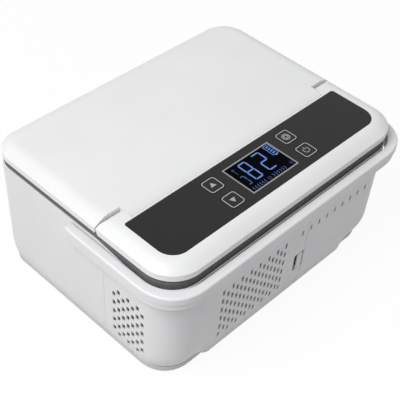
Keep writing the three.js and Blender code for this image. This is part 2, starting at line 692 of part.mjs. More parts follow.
// Levels of the top's upright edge and crowned slope, moved in and down together.
function topLevels(extra, drop) {
  const levels = [[extra, zUnder - drop]];
  const climb = TOP_HEIGHT - TOP_EDGE;
  const slope = Math.hypot(TOP_BEVEL, climb);
  for (let step = 0; step <= BEVEL_STEPS; step += 1) {
    const share = step / BEVEL_STEPS;
    const crown = 4 * BEVEL_CROWN * share * (1 - share);
    const inset = TOP_BEVEL * share - (crown * climb) / slope;
    const rise = TOP_EDGE + climb * share + (crown * TOP_BEVEL) / slope;
    levels.push([inset + extra, zUnder + rise - drop]);
  }
  return levels;
}

function topBlock() {
  return loft(casePlan, topLevels(0, 0));
}

// Hinge pins run from the ears into the lid's knuckle.
function pinBore(side) {
  const inner = earX - PIN_REACH - GAP;
  const outer = earX + PIN_REACH + GAP;
  return rodX(PIN_RADIUS + GAP, side < 0 ? [-outer, -inner] : [inner, outer], hingeY, hingeZ, SMALL_SIDES);
}

function hingePin(side) {
  const span = [earX - PIN_REACH, earX + PIN_REACH];
  return rodX(PIN_RADIUS, side < 0 ? [-span[1], -span[0]] : span, hingeY, hingeZ, SMALL_SIDES);
}

function earSpace(side) {
  const x = side < 0 ? [-halfLength - PAST, -earX] : [earX, halfLength + PAST];
  return block(x, [yLidSeam - WALL, hingeY], everyZ).add(rodX(EAR_RADIUS, x, hingeY, hingeZ));
}

const panelPlan = plan(
  [-halfLength + PANEL_SIDE_MARGIN, halfLength - PANEL_SIDE_MARGIN],
  panelY,
  PANEL_FRONT_RADIUS,
  PANEL_REAR_RADIUS,
);

function displayPlan() {
  return plan(
    [-DISPLAY_LENGTH / 2, DISPLAY_LENGTH / 2],
    [panelMiddle - DISPLAY_DEPTH / 2, panelMiddle + DISPLAY_DEPTH / 2],
    LEAST_RADIUS,
    LEAST_RADIUS,
  );
}

function keyPlan([x, y]) {
  const half = KEY_SIZE / 2;
  return plan([x - half, x + half], [y - half, y + half], KEY_RADIUS, KEY_RADIUS);
}

// Holes for the keys and the display, through the panel and the housing's top.
function controlHoles() {
  const span = [zPlate - PAST, zTop + PAST];
  const keys = Object.values(keyPlaces).map((place) => slab(grown(keyPlan(place), GAP), span));
  return [...keys, slab(grown(displayPlan(), GAP), span)];
}

function boardBosses(z) {
  const x = CONTROL_BOARD_LENGTH / 2 - BOSS_INSET;
  const y = CONTROL_BOARD_DEPTH / 2 - BOSS_INSET;
  const places = [[-x, -y], [x, -y], [-x, y], [x, y]];
  return places.map(([bossX, bossY]) => rodZ(BOSS_RADIUS, z, bossX, panelMiddle + bossY, SMALL_SIDES));
}

function controlHousing() {
  const frontSpace = block(everyX, [-halfDepth - PAST, yLidSeam], everyZ);
  const body = topBlock().intersect(join(frontSpace, earSpace(-1), earSpace(1)));
  const hollow = loft(casePlan, topLevels(WALL, HOUSING_SKIN));
  const cavity = hollow.intersect(block(everyX, [-halfDepth - PAST, yLidSeam - WALL], everyZ));
  const panelSeat = slab(grown(panelPlan, GAP), [zPanelSeat, zTop + PAST]);
  const chamferBlock = new THREE.BoxGeometry(2 * earX, SEAM_CHAMFER * Math.SQRT2, SEAM_CHAMFER * Math.SQRT2);
  chamferBlock.rotateX(Math.PI / 4);
  chamferBlock.translate(0, yLidSeam, zTop);
  const chamfer = solidOf(chamferBlock);
  const shell = cut(body, cavity, panelSeat, chamfer, pinBore(-1), pinBore(1), ...controlHoles());
  return join(shell, ...boardBosses([zControlBoard, zPlate + HOUSING_SKIN / 4]));
}

function controlPanel() {
  return cut(slab(panelPlan, [zPanelSeat, zTop - PANEL_SINK]), ...controlHoles());
}

function keyCap(place) {
  return join(
    slab(keyPlan(place), [zKey, zTop - PANEL_SINK]),
    slab(grown(keyPlan(place), KEY_FLANGE), [zKey, zKeyFlange]),
  );
}

function keySwitch(place) {
  return pad(place, [SWITCH_SIZE, SWITCH_SIZE], [zControlBoard, zSwitch]);
}

function displayBezel() {
  const frame = displayPlan();
  const opening = slab(frame, [zBezel - PAST, zTop + PAST], BEZEL_WIDTH);
  return slab(frame, [zBezel, zTop - PANEL_SINK]).subtract(opening);
}

function displayGlass() {
  return slab(displayPlan(), [zBezel, zTop - PANEL_SINK - GAP], BEZEL_WIDTH + GAP);
}

function displayModule() {
  return slab(displayPlan(), [zControlBoard, zBezel]);
}

function controlBoard() {
  return pad(
    [0, panelMiddle],
    [CONTROL_BOARD_LENGTH, CONTROL_BOARD_DEPTH],
    [zControlBoard - BOARD_THICKNESS, zControlBoard],
  );
}

const lidHollowY = shoulderY + WALL;
const zLidFlange = zLidUnder + LID_FLANGE;
const zLiner = zLidUnder - LINER_THICKNESS;
const linerInset = GASKET_INSET + GASKET_WIDTH + LINER_MARGIN;
const linerPlan = plan(
  [-halfLength + linerInset, halfLength - linerInset],
  [lidHollowY + GAP, halfDepth - linerInset],
  LINER_RADIUS,
  LINER_RADIUS,
);

// The lid's hollow, smaller by a clearance: wide above the flange, and the flange's opening below it.
function lidSpace(clearance, zFrom) {
  const wide = loft(casePlan, topLevels(WALL + clearance, LID_SKIN + clearance));
  const upper = block(everyX, [lidHollowY + clearance, halfDepth + PAST], [zLidFlange + clearance, zTop]);
  const opening = slab(linerPlan, [zFrom, zLidFlange + PAST], LINER_LAP + clearance);
  return wide.intersect(upper).add(opening);
}

function lidShell() {
  const rear = halfDepth + PAST;
  const above = [zLidUnder, zTop + PAST];
  const middleX = [-lidMiddleX, lidMiddleX];
  const space = join(
    block(middleX, [hingeY, rear], above),
    block(everyX, [shoulderY, rear], above),
    rodX(KNUCKLE_RADIUS, middleX, hingeY, hingeZ).intersect(block(everyX, [-halfDepth, rear], above)),
  );
  return cut(topBlock().intersect(space), lidSpace(0, zLidUnder - PAST), pinBore(-1), pinBore(1));
}

function lidFoam() {
  return lidSpace(GAP, zLidUnder);
}

function lidLiner() {
  const plate = slab(linerPlan, [zLiner, zLidUnder]);
  const plug = slab(tubPlan, [zLiner - PLUG_DEPTH, zLiner + PAST], TUB_WALL + PLUG_CLEARANCE);
  const pocket = pad(
    [0, magnetY],
    [MAGNET_LENGTH + 2 * GAP, MAGNET_WIDTH + GAP],
    [zLiner - PAST, zLidUnder + PAST],
  );
  return cut(join(plate, plug), pocket);
}

function lidMagnet() {
  return pad([0, magnetY], [MAGNET_LENGTH, MAGNET_WIDTH - GAP], [zLiner, zLidUnder]);
}

function lidSeal() {
  const span = [zDeckTop + TUB_WALL + GAP, zLiner];
  return cut(
    slab(grown(tubPlan, SEAL_OFFSET + SEAL_WIDTH), span),
    slab(grown(tubPlan, SEAL_OFFSET), [span[0] - PAST, span[1] + PAST]),
  );
}

function coldBlock() {
  const half = MODULE_SIZE / 2;
  return block([fanX - half, fanX + half], coldBlockY, [fanZ - half, fanZ + half]);
}

function peltierModule() {
  const half = MODULE_SIZE / 2;
  return block([fanX - half, fanX + half], moduleY, [fanZ - half, fanZ + half]);
}

function heatSink() {
  const z = [fanZ - SINK_HEIGHT / 2, fanZ + SINK_HEIGHT / 2];
  const base = block([fanX - SINK_WIDTH / 2, fanX + SINK_WIDTH / 2], [sinkY[1] - SINK_BASE, sinkY[1]], z);
  const step = (SINK_WIDTH - FIN_THICKNESS) / (FIN_COUNT - 1);
  const fins = Array.from({ length: FIN_COUNT }, (_, fin) => {
    const x = fanX - SINK_WIDTH / 2 + fin * step;
    return block([x, x + FIN_THICKNESS], [sinkY[0], sinkY[1] - SINK_BASE / 2], z);
  });
  return join(base, ...fins);
}

function fanFrame() {
  const half = FAN_SIZE / 2;
  const body = block([fanX - half, fanX + half], fanY, [fanZ - half, fanZ + half]);
  const ring = body.subtract(rodY(fanBore, [fanY[0] - PAST, fanY[1] + PAST], fanX, fanZ));
  const plateY = [fanY[1] - HUB_PLATE, fanY[1]];
  const strut = STRUT_WIDTH / 2;
  const reach = half - PAST;
  const strutUp = block([fanX - strut, fanX + strut], plateY, [fanZ - reach, fanZ + reach]);
  const strutAcross = block([fanX - reach, fanX + reach], plateY, [fanZ - strut, fanZ + strut]);
  const hubPlate = rodY(HUB_RADIUS, plateY, fanX, fanZ);
  const spindleY = [spindleTip, fanY[1] - HUB_PLATE / 2];
  const spindle = rodY(SPINDLE_RADIUS, spindleY, fanX, fanZ, SMALL_SIDES);
  return join(ring, strutUp, strutAcross, hubPlate, spindle);
}

function fanRotor() {
  const hubY = [fanY[1] - HUB_PLATE - GAP - HUB_DEPTH, fanY[1] - HUB_PLATE - GAP];
  const hub = rodY(HUB_RADIUS, hubY, fanX, fanZ);
  const blades = Array.from({ length: BLADE_COUNT }, (_, blade) => {
    const span = bladeRadius - HUB_RADIUS + PAST;
    const geometry = new THREE.BoxGeometry(BLADE_CHORD, BLADE_THICKNESS, span);
    geometry.rotateZ(THREE.MathUtils.degToRad(BLADE_ANGLE));
    geometry.translate(0, 0, HUB_RADIUS - PAST + span / 2);
    geometry.rotateY((blade / BLADE_COUNT) * 2 * Math.PI);
    geometry.translate(fanX, (hubY[0] + hubY[1]) / 2, fanZ);
    return solidOf(geometry);
  });
  const bore = rodY(SPINDLE_RADIUS + GAP, [spindleTip - GAP, fanY[1]], fanX, fanZ, SMALL_SIDES);
  return join(hub, ...blades).subtract(bore);
}

function powerBoard() {
  const z = zDeck - POWER_BOARD_DROP;
  const y = [bulkheadY[0] - GAP - POWER_BOARD_DEPTH, bulkheadY[0] - GAP];
  return block([-POWER_BOARD_LENGTH / 2, POWER_BOARD_LENGTH / 2], y, [z, z + BOARD_THICKNESS]);
}

function dcSocket() {
  const [x, z] = dcPlace();
  const back = halfDepth - wallInset(z);
  const barrel = rodY(DC_RADIUS, [halfDepth - WALL - DC_DEPTH, back], x, z);
  return barrel.subtract(rodY(DC_HOLE, [back - DC_DEPTH, back + PAST], x, z, SMALL_SIDES));
}

const handlePlan = plan(
  [-halfLength - HANDLE_REACH, halfLength + HANDLE_REACH],
  [-halfDepth - HANDLE_REACH, halfDepth],
  HANDLE_CORNER,
  REAR_RADIUS,
);

// The handle's outline from above: along the wall on the inside, and thinner at its two ends.
function handleOutline(reach, endReach) {
  const inner = outline(handlePlan, HANDLE_REACH - HANDLE_GAP);
  const outer = outline(handlePlan, HANDLE_REACH - reach);
  const perCorner = CORNER_STEPS + 1;
  const frontRight = (points) => points.slice(0, perCorner);
  const frontLeft = (points) => points.slice(-perCorner);
  const endY = HANDLE_HEIGHT / 2;
  const wallX = halfLength + HANDLE_GAP;
  return [
    new THREE.Vector2(-wallX, endY),
    ...frontLeft(inner),
    ...frontRight(inner),
    new THREE.Vector2(wallX, endY),
    new THREE.Vector2(halfLength + endReach, endY),
    new THREE.Vector2(halfLength + reach, -ARM_TAPER),
    ...frontRight(outer).reverse(),
    ...frontLeft(outer).reverse(),
    new THREE.Vector2(-halfLength - reach, -ARM_TAPER),
    new THREE.Vector2(-halfLength - endReach, endY),
  ];
}

function handlePrism(points, [z0, z1], round) {
  const shape = new THREE.Shape(points);
  const geometry = new THREE.ExtrudeGeometry(shape, {
    depth: z1 - z0 - 2 * round,
    bevelEnabled: round > 0,
    bevelThickness: round,
    bevelSize: round,
    bevelOffset: -round,
    bevelSegments: BEAD_STEPS,
  });
  geometry.translate(0, 0, z0 + round);
  return solidOf(geometry);
}

function handle() {
  const beadZ = [handleZ[1] - BEAD_HEIGHT, handleZ[1]];
  const bead = handlePrism(handleOutline(HANDLE_REACH, ARM_END_REACH), beadZ, BEAD_ROUND);
  const lowerZ = [handleZ[0], beadZ[0] + BEAD_HEIGHT / 2];
  const lowerReach = HANDLE_REACH - HANDLE_STEP;
  const lower = handlePrism(handleOutline(lowerReach, Math.min(ARM_END_REACH, lowerReach)), lowerZ, 0);
  const wide = [-halfLength - HANDLE_REACH - PAST, halfLength + HANDLE_REACH + PAST];
  const roundEnds = join(
    block(wide, [-halfDepth - HANDLE_REACH - PAST, 0], everyZ),
    rodX(HANDLE_HEIGHT / 2, wide, 0, pivotZ),
  );
  const socketX = halfLength + HANDLE_GAP + HANDLE_PIN_REACH + GAP;
  const sockets = rodX(HANDLE_PIN_RADIUS + GAP, [-socketX, socketX], 0, pivotZ);
  return join(bead, lower).intersect(roundEnds).subtract(sockets);
}

function handlePin(side) {
  const outer = halfLength + HANDLE_GAP + HANDLE_PIN_REACH;
  const span = side < 0 ? [-outer, -pivotInnerX] : [pivotInnerX, outer];
  return rodX(HANDLE_PIN_RADIUS, span, 0, pivotZ);
}

function footPlaces() {
  const x = halfLength - FOOT_INSET;
  const y = halfDepth - FOOT_INSET;
  return { front_left: [-x, -y], front_right: [x, -y], rear_left: [-x, y], rear_right: [x, y] };
}

// Finishes
const white = [0xe9e9ea, 0.42];
const offWhite = [0xdedee0, 0.55];
const darkPanel = [0x343434, 0.3];
const darkRubber = [0x4b4c4e, 0.8];
const foam = [0xd8dadb, 0.95];
const aluminium = [0xc4c7ca, 0.35, 0.9];
const steel = [0xb5b8bc, 0.3, 1];
const blackPlastic = [0x202124, 0.6];
const board = [0x1f5a3a, 0.6];
const brass = [0xc9a45a, 0.35, 1];
const ceramic = [0xeeeeea, 0.5];
const glass = [0x0a0c12, 0.08];
const cellWrap = [0x3a6ea8, 0.45];
const magnetSteel = [0x8a8d91, 0.4, 0.9];

const coolingCase = new THREE.Group();
coolingCase.position.y = HANDLE_REACH / 2;

function addPart(name, solid, [colour, roughness, metalness = 0]) {
  const mesh = solid.getMesh();
  const geometry = new THREE.BufferGeometry();
  geometry.setAttribute('position', new THREE.BufferAttribute(mesh.vertProperties, 3));
  geometry.setIndex(new THREE.BufferAttribute(mesh.triVerts, 1));
  geometry.computeVertexNormals();
  const material = new THREE.MeshStandardMaterial({ color: colour, roughness, metalness });
  const object = new THREE.Mesh(geometry, material);
  object.name = name;
  coolingCase.add(object);
}

addPart('outer_shell', outerShell(), white);
addPart('base_plate', basePlate(), offWhite);
Object.entries(footPlaces()).forEach(([corner, [x, y]]) => {
  addPart(`foot_${corner}`, rodZ(FOOT_RADIUS, [0, zBase], x, y), darkRubber);
});
postPlaces().forEach((place, number) => addPart(`base_screw_${number + 1}`, baseScrew(place), steel));
addPart('vent_cover', ventCover(), white);
addPart('release_tab', releaseTab(), white);

addPart('insulation', insulation(), foam);
addPart('cold_tub', coldTub(), aluminium);
addPart('chamber_deck', chamberDeck(), offWhite);
addPart('deck_magnet', deckMagnet(), magnetSteel);
addPart('gasket', gasket(), darkRubber);

addPart('cold_block', coldBlock(), aluminium);
addPart('peltier_module', peltierModule(), ceramic);
addPart('heat_sink', heatSink(), aluminium);
addPart('fan_frame', fanFrame(), blackPlastic);
addPart('fan_rotor', fanRotor(), blackPlastic);
addPart('power_board', powerBoard(), board);
addPart('dc_socket', dcSocket(), blackPlastic);

addPart('battery_pack', batteryPack(), white);
addPart('battery_lid', batteryLid(), offWhite);
[[0, 0], [1, 0], [0, 1], [1, 1]].forEach(([row, layer], number) => {
  addPart(`battery_cell_${number + 1}`, cell(row, layer), cellWrap);
});
addPart('battery_contacts', batteryContacts(), brass);
addPart('battery_socket', batterySocket(), blackPlastic);

addPart('control_housing', controlHousing(), white);
addPart('control_panel', controlPanel(), darkPanel);
addPart('display_bezel', displayBezel(), steel);
addPart('display_glass', displayGlass(), glass);
addPart('display_module', displayModule(), blackPlastic);
addPart('control_board', controlBoard(), board);
Object.entries(keyPlaces).forEach(([key, place]) => {
  addPart(`key_${key}`, keyCap(place), darkPanel);
  addPart(`switch_${key}`, keySwitch(place), blackPlastic);
});

addPart('lid_shell', lidShell(), white);
addPart('lid_foam', lidFoam(), foam);
addPart('lid_liner', lidLiner(), offWhite);
addPart('lid_magnet', lidMagnet(), magnetSteel);
addPart('lid_seal', lidSeal(), darkRubber);
addPart('hinge_pin_left', hingePin(-1), steel);
addPart('hinge_pin_right', hingePin(1), steel);

addPart('handle', handle(), white);
addPart('handle_pin_left', handlePin(-1), steel);
addPart('handle_pin_right', handlePin(1), steel);

export default coolingCase;
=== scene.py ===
"""Looks of the insulin cooling case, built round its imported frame.

Pieces are modelled in millimetres, on the frame's own axes, and stored in metres.
"""

import json
import math
from collections import namedtuple

import bmesh
import bpy
from mathutils import Matrix, Vector


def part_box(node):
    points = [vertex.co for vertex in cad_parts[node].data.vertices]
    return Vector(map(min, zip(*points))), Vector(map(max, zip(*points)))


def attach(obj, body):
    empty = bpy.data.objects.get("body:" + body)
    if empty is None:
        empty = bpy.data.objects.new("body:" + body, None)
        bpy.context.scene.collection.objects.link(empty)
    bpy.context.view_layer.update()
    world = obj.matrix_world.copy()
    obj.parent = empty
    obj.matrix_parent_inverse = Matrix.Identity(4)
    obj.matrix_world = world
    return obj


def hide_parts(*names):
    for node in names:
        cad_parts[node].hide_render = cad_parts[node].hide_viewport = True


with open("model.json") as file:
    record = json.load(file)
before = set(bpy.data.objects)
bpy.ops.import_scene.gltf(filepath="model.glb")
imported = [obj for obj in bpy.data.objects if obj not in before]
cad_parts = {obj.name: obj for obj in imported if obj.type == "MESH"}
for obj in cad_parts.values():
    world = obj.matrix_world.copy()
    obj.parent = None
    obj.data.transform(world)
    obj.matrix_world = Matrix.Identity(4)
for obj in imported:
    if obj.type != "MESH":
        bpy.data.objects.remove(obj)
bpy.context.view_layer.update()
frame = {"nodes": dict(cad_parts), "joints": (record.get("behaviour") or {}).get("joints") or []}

MM = 0.001
SAME_POINT = 0.0001 * MM
Plan = namedtuple("Plan", "x0 x1 y0 y1 front rear")

# Sizes in millimetres of the case walls and covers
FRONT_RADIUS = 22
REAR_RADIUS = 18
WALL = 2.4
WALL_LEAN = 1.8
SEAM_INSET = 3.6
LOWER_BEND = 7
RIM_SINK = 1.4
GAP = 0.3
SEAM_GAP = 0.4
COVER_GAP = 0.15
BAY_DEPTH = 56
COVER_DROP = 14.5
SKIRT_DROP = 5.6
SKIRT_END = 29
SKIRT_LEAN = 0.35
SKIRT_CURVE = 13
BASE_FLOOR = 3
BASE_LEAN = 0.6
BASE_STEP = 0.3
BASE_TOE = 0.9
BASE_TOE_HEIGHT = 1.4
GROOVE_DEPTH = 1.8
GROOVE_HEIGHT = 1.2
FRONT_TUCK = 1.6
CORNER_GROWTH = 3
FLANGE_WIDTH = 7.5
FLANGE_THICKNESS = 2.5
BULKHEAD_SETBACK = 0.6
BULKHEAD_THICKNESS = 2
POST_RADIUS = 4
POST_HEIGHT = 14
SCREW_HEAD_HEIGHT = 1.6
WEB_THICKNESS = 2.4
LEDGE_SPACING = 86
LEDGE_WIDTH = 6
LEDGE_HEIGHT = 4

# Sizes of the vent slots, snap tab and battery pack
SLOT_WIDTH = 2
SIDE_SLOT_WIDTH = 2.6
TOP_SLOT_WIDTH = 1.8
GRILLE_SKIN = 1
SLOT_HEIGHT = 4.6
SLOT_ROUND_SHARE = 0.28
SLOT_PITCH = 4.05
SLOT_ROW_PITCH = 8
SLOT_ROWS = 6
SLOT_TOP_DROP = 18.5
FRONT_COLUMNS = 15
SIDE_COLUMNS = 7
FRONT_SLOT_TO_SEAM = 21.8
SIDE_SLOT_TO_SEAM = 8.9
TAB_SIDE_GAP = 3.3
TAB_TOP_GAP = 1
TAB_HOOK = 2
TAB_ROUND = 1.8
TAB_SKIN = 0.8
TAB_THINNED = 2.2
PACK_SEAM_MARGIN = 2.5
PACK_WALL = 1.5
PACK_CELL_GAP = 0.2
PACK_RIB = 2
PACK_RIB_SPACING = 40

# Sizes of the gasket, lid, control housing and keys
GASKET_WIDTH = 5
GASKET_BULGE = 0.7
GASKET_GROOVE = 0.6
GASKET_GROOVE_HALF = 0.5
LIP_DROP = 4.6
LIP_RISE = 14
LIP_THICKNESS = 1.1
TOP_EDGE = 4.2
TOP_BEVEL = 8
BEVEL_CROWN = 0.35
CREASE_ROUND = 3
TOP_STEPS = 8
LID_EDGE = 4
EAR_WIDTH = 18.7
EAR_GAP = 0.4
SHOULDER_GAP = 0.7
SEAM_CHAMFER = 0.4
HOUSING_SKIN = 2.5
LID_SKIN = 2
LID_FLANGE = 1.6
LINER_LAP = 3
LINER_RADIUS = 10
PIN_BORE = 1.8
PANEL_FRONT_RADIUS = 11.5
PANEL_REAR_RADIUS = 1.5
BEZEL_WIDTH = 1.1
KEY_FLANGE = 0.9
KEY_FLANGE_HEIGHT = 1
KEY_RADIUS = 2.6
KEY_PRINT_INSET = 0.45
KEY_PRINT_WIDTH = 0.62
PRINT_HEIGHT = 0.06

# Sizes of the cold chamber and the lid's underside
TUB_FLANGE = 6
TUB_WALL = 1.2
TUB_RADIUS = 10
TUB_FILLET = 5
LINER_FILLET = 2.2
SEAL_WIDTH = 2.5
SEAL_MARGIN = 3.7
PLUG_CLEARANCE = 2.5

# Sizes of the carry handle
HANDLE_GAP = 1.8
HANDLE_STEP = 1
HANDLE_OUTSET = 1.2
BEAD_HEIGHT = 6
BEAD_ROUND = 1.3
BLEND_BELOW = 0.3
BLEND_HEIGHT = 1.2
HANDLE_EDGE = 0.9
ARM_GAP = 0.7
ARM_REACH = 6.8
ARM_END_REACH = 5.4
ARM_TAPER = 4
HANDLE_SOCKET = 2.5
HANDLE_SOCKET_DEPTH = 4.2

# Fineness of round stretches
CORNER_STEPS = 18
SMALL_CORNER_STEPS = 6
SMALL_CORNER = 4
LEAST_RADIUS = 0.4
ROUND_SIDES = 40
WAVE_STEPS = 10
BEND_STEPS = 8
KNUCKLE_STEPS = 10
LID_EDGE_STEPS = 16
BARREL_STEPS = 20
TUB_FILLET_STEPS = 8
LINER_FILLET_STEPS = 6
ARM_STEPS = 12
HANDLE_EDGE_STEPS = 5
BEAD_STEPS = 8
RING_STEPS = 36

# How far a tool runs past what it cuts
PAST = 1


def node_box(node):
    low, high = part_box(node)
    return [v / MM for v in low], [v / MM for v in high]


def node_middle(node):
    low, high = node_box(node)
    return [(a + b) / 2 for a, b in zip(low, high)]


def plan_of(low, high, front, rear):
    """The plan of a box, with its corners rounded at the front and the rear."""
    return Plan(low[0], high[0], low[1], high[1], front, rear)


def joint_place(name):
    joint = next(j for j in frame["joints"] if j["name"] == name)
    return [v / MM for v in joint["pos_m"]]


# Levels and planes read from the frame
shell_low, shell_high = node_box("outer_shell")
base_low = node_box("base_plate")[0]
gasket_high = node_box("gasket")[1]
lid_low, lid_high = node_box("lid_shell")
panel_low, panel_high = node_box("control_panel")
bezel_low, bezel_high = node_box("display_bezel")
glass_low, glass_high = node_box("display_glass")
handle_low, handle_high = node_box("handle")
tub_low, tub_high = node_box("cold_tub")
deck_low, deck_high = node_box("chamber_deck")
liner_low, liner_high = node_box("lid_liner")
tab_low, tab_high = node_box("release_tab")
battery_low, battery_high = node_box("battery_lid")
CASE = plan_of(shell_low, shell_high, FRONT_RADIUS, REAR_RADIUS)
Z_SEAM, Z_RIM = shell_low[2], shell_high[2]
Z_SKIRT = Z_SEAM - SKIRT_DROP
Z_SKIRT_PAST = Z_SKIRT - PAST / 4
Z_COVER_TOP = Z_RIM - COVER_DROP
Z_UNDER, Z_TOP = gasket_high[2], lid_high[2]
Z_LID = lid_low[2]
Z_LID_FLANGE = Z_LID + LID_FLANGE
Y_SIDE_SEAM = CASE.y0 + BAY_DEPTH
X_FRONT_SEAM = battery_low[0] - PACK_SEAM_MARGIN
HINGE_Y, HINGE_Z = joint_place("lid_hinge")[1:]
KNUCKLE = Z_TOP - HINGE_Z
Y_LID_SEAM = HINGE_Y - KNUCKLE - SEAM_GAP
EAR_X = CASE.x1 - EAR_WIDTH
Y_SHOULDER = HINGE_Y + KNUCKLE + SHOULDER_GAP
Y_LID_HOLLOW = Y_SHOULDER + WALL
GASKET_OUTER = CASE.x1 - gasket_high[0] - GASKET_BULGE
GASKET_INNER = CASE.x1 - gasket_high[0] + GASKET_WIDTH
PIVOT_Y, PIVOT_Z = joint_place("handle_pivot")[1:]
HANDLE_REACH = handle_high[0] - CASE.x1
HANDLE_HALF = (handle_high[2] - handle_low[2]) / 2
BULKHEAD_Y = Y_SIDE_SEAM + BULKHEAD_SETBACK
TUB = Plan(
    tub_low[0] + TUB_FLANGE,
    tub_high[0] - TUB_FLANGE,
    tub_low[1] + TUB_FLANGE,
    tub_high[1] - TUB_FLANGE,
    TUB_RADIUS,
    TUB_RADIUS,
)
LINER = plan_of(liner_low, liner_high, LINER_RADIUS, LINER_RADIUS)
PANEL = plan_of(panel_low, panel_high, PANEL_FRONT_RADIUS, PANEL_REAR_RADIUS)
DISPLAY = plan_of(bezel_low, bezel_high, LEAST_RADIUS, LEAST_RADIUS)
KEYS = ("up", "down", "mode", "power")
SCREWS = [f"base_screw_{number}" for number in range(1, 5)]
EVERY_X = (CASE.x0 - PAST, CASE.x1 + PAST)
EVERY_Y = (CASE.y0 - PAST, CASE.y1 + PAST)
EVERY_Z = (base_low[2] - PAST, Z_TOP + PAST)


# Solids and how they are joined and cut

def new_solid(vertices, faces, name="solid"):
    mesh = bpy.data.meshes.new(name)
    mesh.from_pydata([(x * MM, y * MM, z * MM) for x, y, z in vertices], [], faces)
    mesh.update()
    solid = bpy.data.objects.new(name, mesh)
    bpy.context.scene.collection.objects.link(solid)
    return solid


def turn_faces_out(solid):
    work = bmesh.new()
    work.from_mesh(solid.data)
    bmesh.ops.remove_doubles(work, verts=work.verts, dist=SAME_POINT)
    bmesh.ops.recalc_face_normals(work, faces=work.faces)
    work.to_mesh(solid.data)
    work.free()
    return solid


def grown(plan, by):
    return Plan(plan.x0 - by, plan.x1 + by, plan.y0 - by, plan.y1 + by, plan.front + by, plan.rear + by)


def outline(plan, inset=0.0):
    """Anticlockwise points of a rounded rectangle drawn in by an inset, from its front right corner."""
    corners = (
        (plan.x1, plan.y0, plan.front, -1, 1),
        (plan.x1, plan.y1, plan.rear, -1, -1),
        (plan.x0, plan.y1, plan.rear, 1, -1),
        (plan.x0, plan.y0, plan.front, 1, 1),
    )
    points = []
    for quarter, (x, y, corner_radius, inward_x, inward_y) in enumerate(corners):
        radius = max(corner_radius - inset, LEAST_RADIUS)
        middle_x = x + inward_x * (inset + radius)
        middle_y = y + inward_y * (inset + radius)
        steps = CORNER_STEPS if corner_radius > SMALL_CORNER else SMALL_CORNER_STEPS
        for step in range(steps + 1):
            angle = (quarter - 1 + step / steps) * math.pi / 2
            points.append((middle_x + radius * math.cos(angle), middle_y + radius * math.sin(angle)))
    return points


def skin(rings):
    """A solid through rings of equally many points. From the lowest up, its faces point outwards."""
    vertices = [point for ring in rings for point in ring]
    count = len(rings[0])
    top = len(vertices) - count
    faces = [tuple(reversed(range(count))), tuple(range(top, top + count))]
    for level in range(len(rings) - 1):
        for i in range(count):
            a = level * count + i
            b = level * count + (i + 1) % count
            faces.append((a, b, b + count, a + count))
    return new_solid(vertices, faces)


def loft(plan, levels):
    """A solid through a plan's outlines, each level an inset and a height, from the lowest up."""
    return skin([[(x, y, z) for x, y in outline(plan, inset)] for inset, z in levels])


def slab(plan, z0, z1, inset=0.0):
    return loft(plan, [(inset, z0), (inset, z1)])


def prism(points, span, axis):
    """A solid from an outline pushed along an axis. Its points are on the other two, in X, Y, Z order."""
    place = {
        "X": lambda p, s: (s, p[0], p[1]),
        "Y": lambda p, s: (p[0], s, p[1]),
        "Z": lambda p, s: (p[0], p[1], s),
    }[axis]
    count = len(points)
    vertices = [place(p, s) for s in span for p in points]
    faces = [tuple(range(count)), tuple(range(count, 2 * count))]
    faces += [(i, (i + 1) % count, (i + 1) % count + count, i + count) for i in range(count)]
    return turn_faces_out(new_solid(vertices, faces))


def block(x, y, z):
    return prism([(x[0], y[0]), (x[1], y[0]), (x[1], y[1]), (x[0], y[1])], z, "Z")


def arc(middle, radius, start, end, steps):
    """Points of an arc, with its angles in degrees."""
    angles = [math.radians(start + (end - start) * step / steps) for step in range(steps + 1)]
    return [(middle[0] + radius * math.cos(a), middle[1] + radius * math.sin(a)) for a in angles]


def circle(middle, radius, sides):
    return arc(middle, radius, 0, 360 - 360 / sides, sides - 1)


def rod(radius, span, place, axis, sides=ROUND_SIDES):
    return prism(circle(place, radius, sides), span, axis)


def turned(profile):
    """A solid of revolution about Z from radius and height pairs, closed at both ends."""
    return skin([[(x, y, z) for x, y in circle((0, 0), radius, ROUND_SIDES)] for radius, z in profile])


def eased(share):
    """Goes from 0 to 1 along half a cosine wave."""
    return (1 - math.cos(math.pi * share)) / 2


def fillet_levels(inset, z, radius, steps):
    """Levels of a loft's rounded lower edge, which ends at an inset."""
    levels = []
    for step in range(steps + 1):
        angle = step / steps * math.pi / 2
        levels.append((inset + radius * (1 - math.sin(angle)), z + radius * (1 - math.cos(angle))))
    return levels


def magnet_room(name, z):
    low, high = node_box(name)
    return block((low[0] - GAP, high[0] + GAP), (low[1] - GAP, high[1] + GAP), z)


def settle(piece):
    """Bakes a piece's modifiers into its mesh."""
    bpy.context.view_layer.update()
    graph = bpy.context.evaluated_depsgraph_get()
    mesh = bpy.data.meshes.new_from_object(piece.evaluated_get(graph))
    piece.modifiers.clear()
    old = piece.data
    piece.data = mesh
    bpy.data.meshes.remove(old)
    return piece


def combine(piece, operation, tools):
    for tool in tools:
        modifier = piece.modifiers.new(operation, "BOOLEAN")
        modifier.operation = operation
        modifier.solver = "MANIFOLD"
        modifier.object = tool
    settle(piece)
    for tool in tools:
        bpy.data.objects.remove(tool)
    return piece


def join(piece, *tools):
    return combine(piece, "UNION", tools)


def cut(piece, *tools):
    return combine(piece, "DIFFERENCE", tools)


def keep(piece, *tools):
    return combine(piece, "INTERSECT", tools)


def smooth(piece, limit=38):
    """Smooth shading that stays crisp on edges sharper than the limit, in degrees."""
    work = bmesh.new()
    work.from_mesh(piece.data)
    for face in work.faces:
        face.smooth = True
    for edge in work.edges:
        edge.smooth = edge.is_manifold and edge.calc_face_angle() < math.radians(limit)
    work.to_mesh(piece.data)
    work.free()
    weighted = piece.modifiers.new("even shading", "WEIGHTED_NORMAL")
    weighted.keep_sharp = True
    weighted.weight = 80
    return settle(piece)


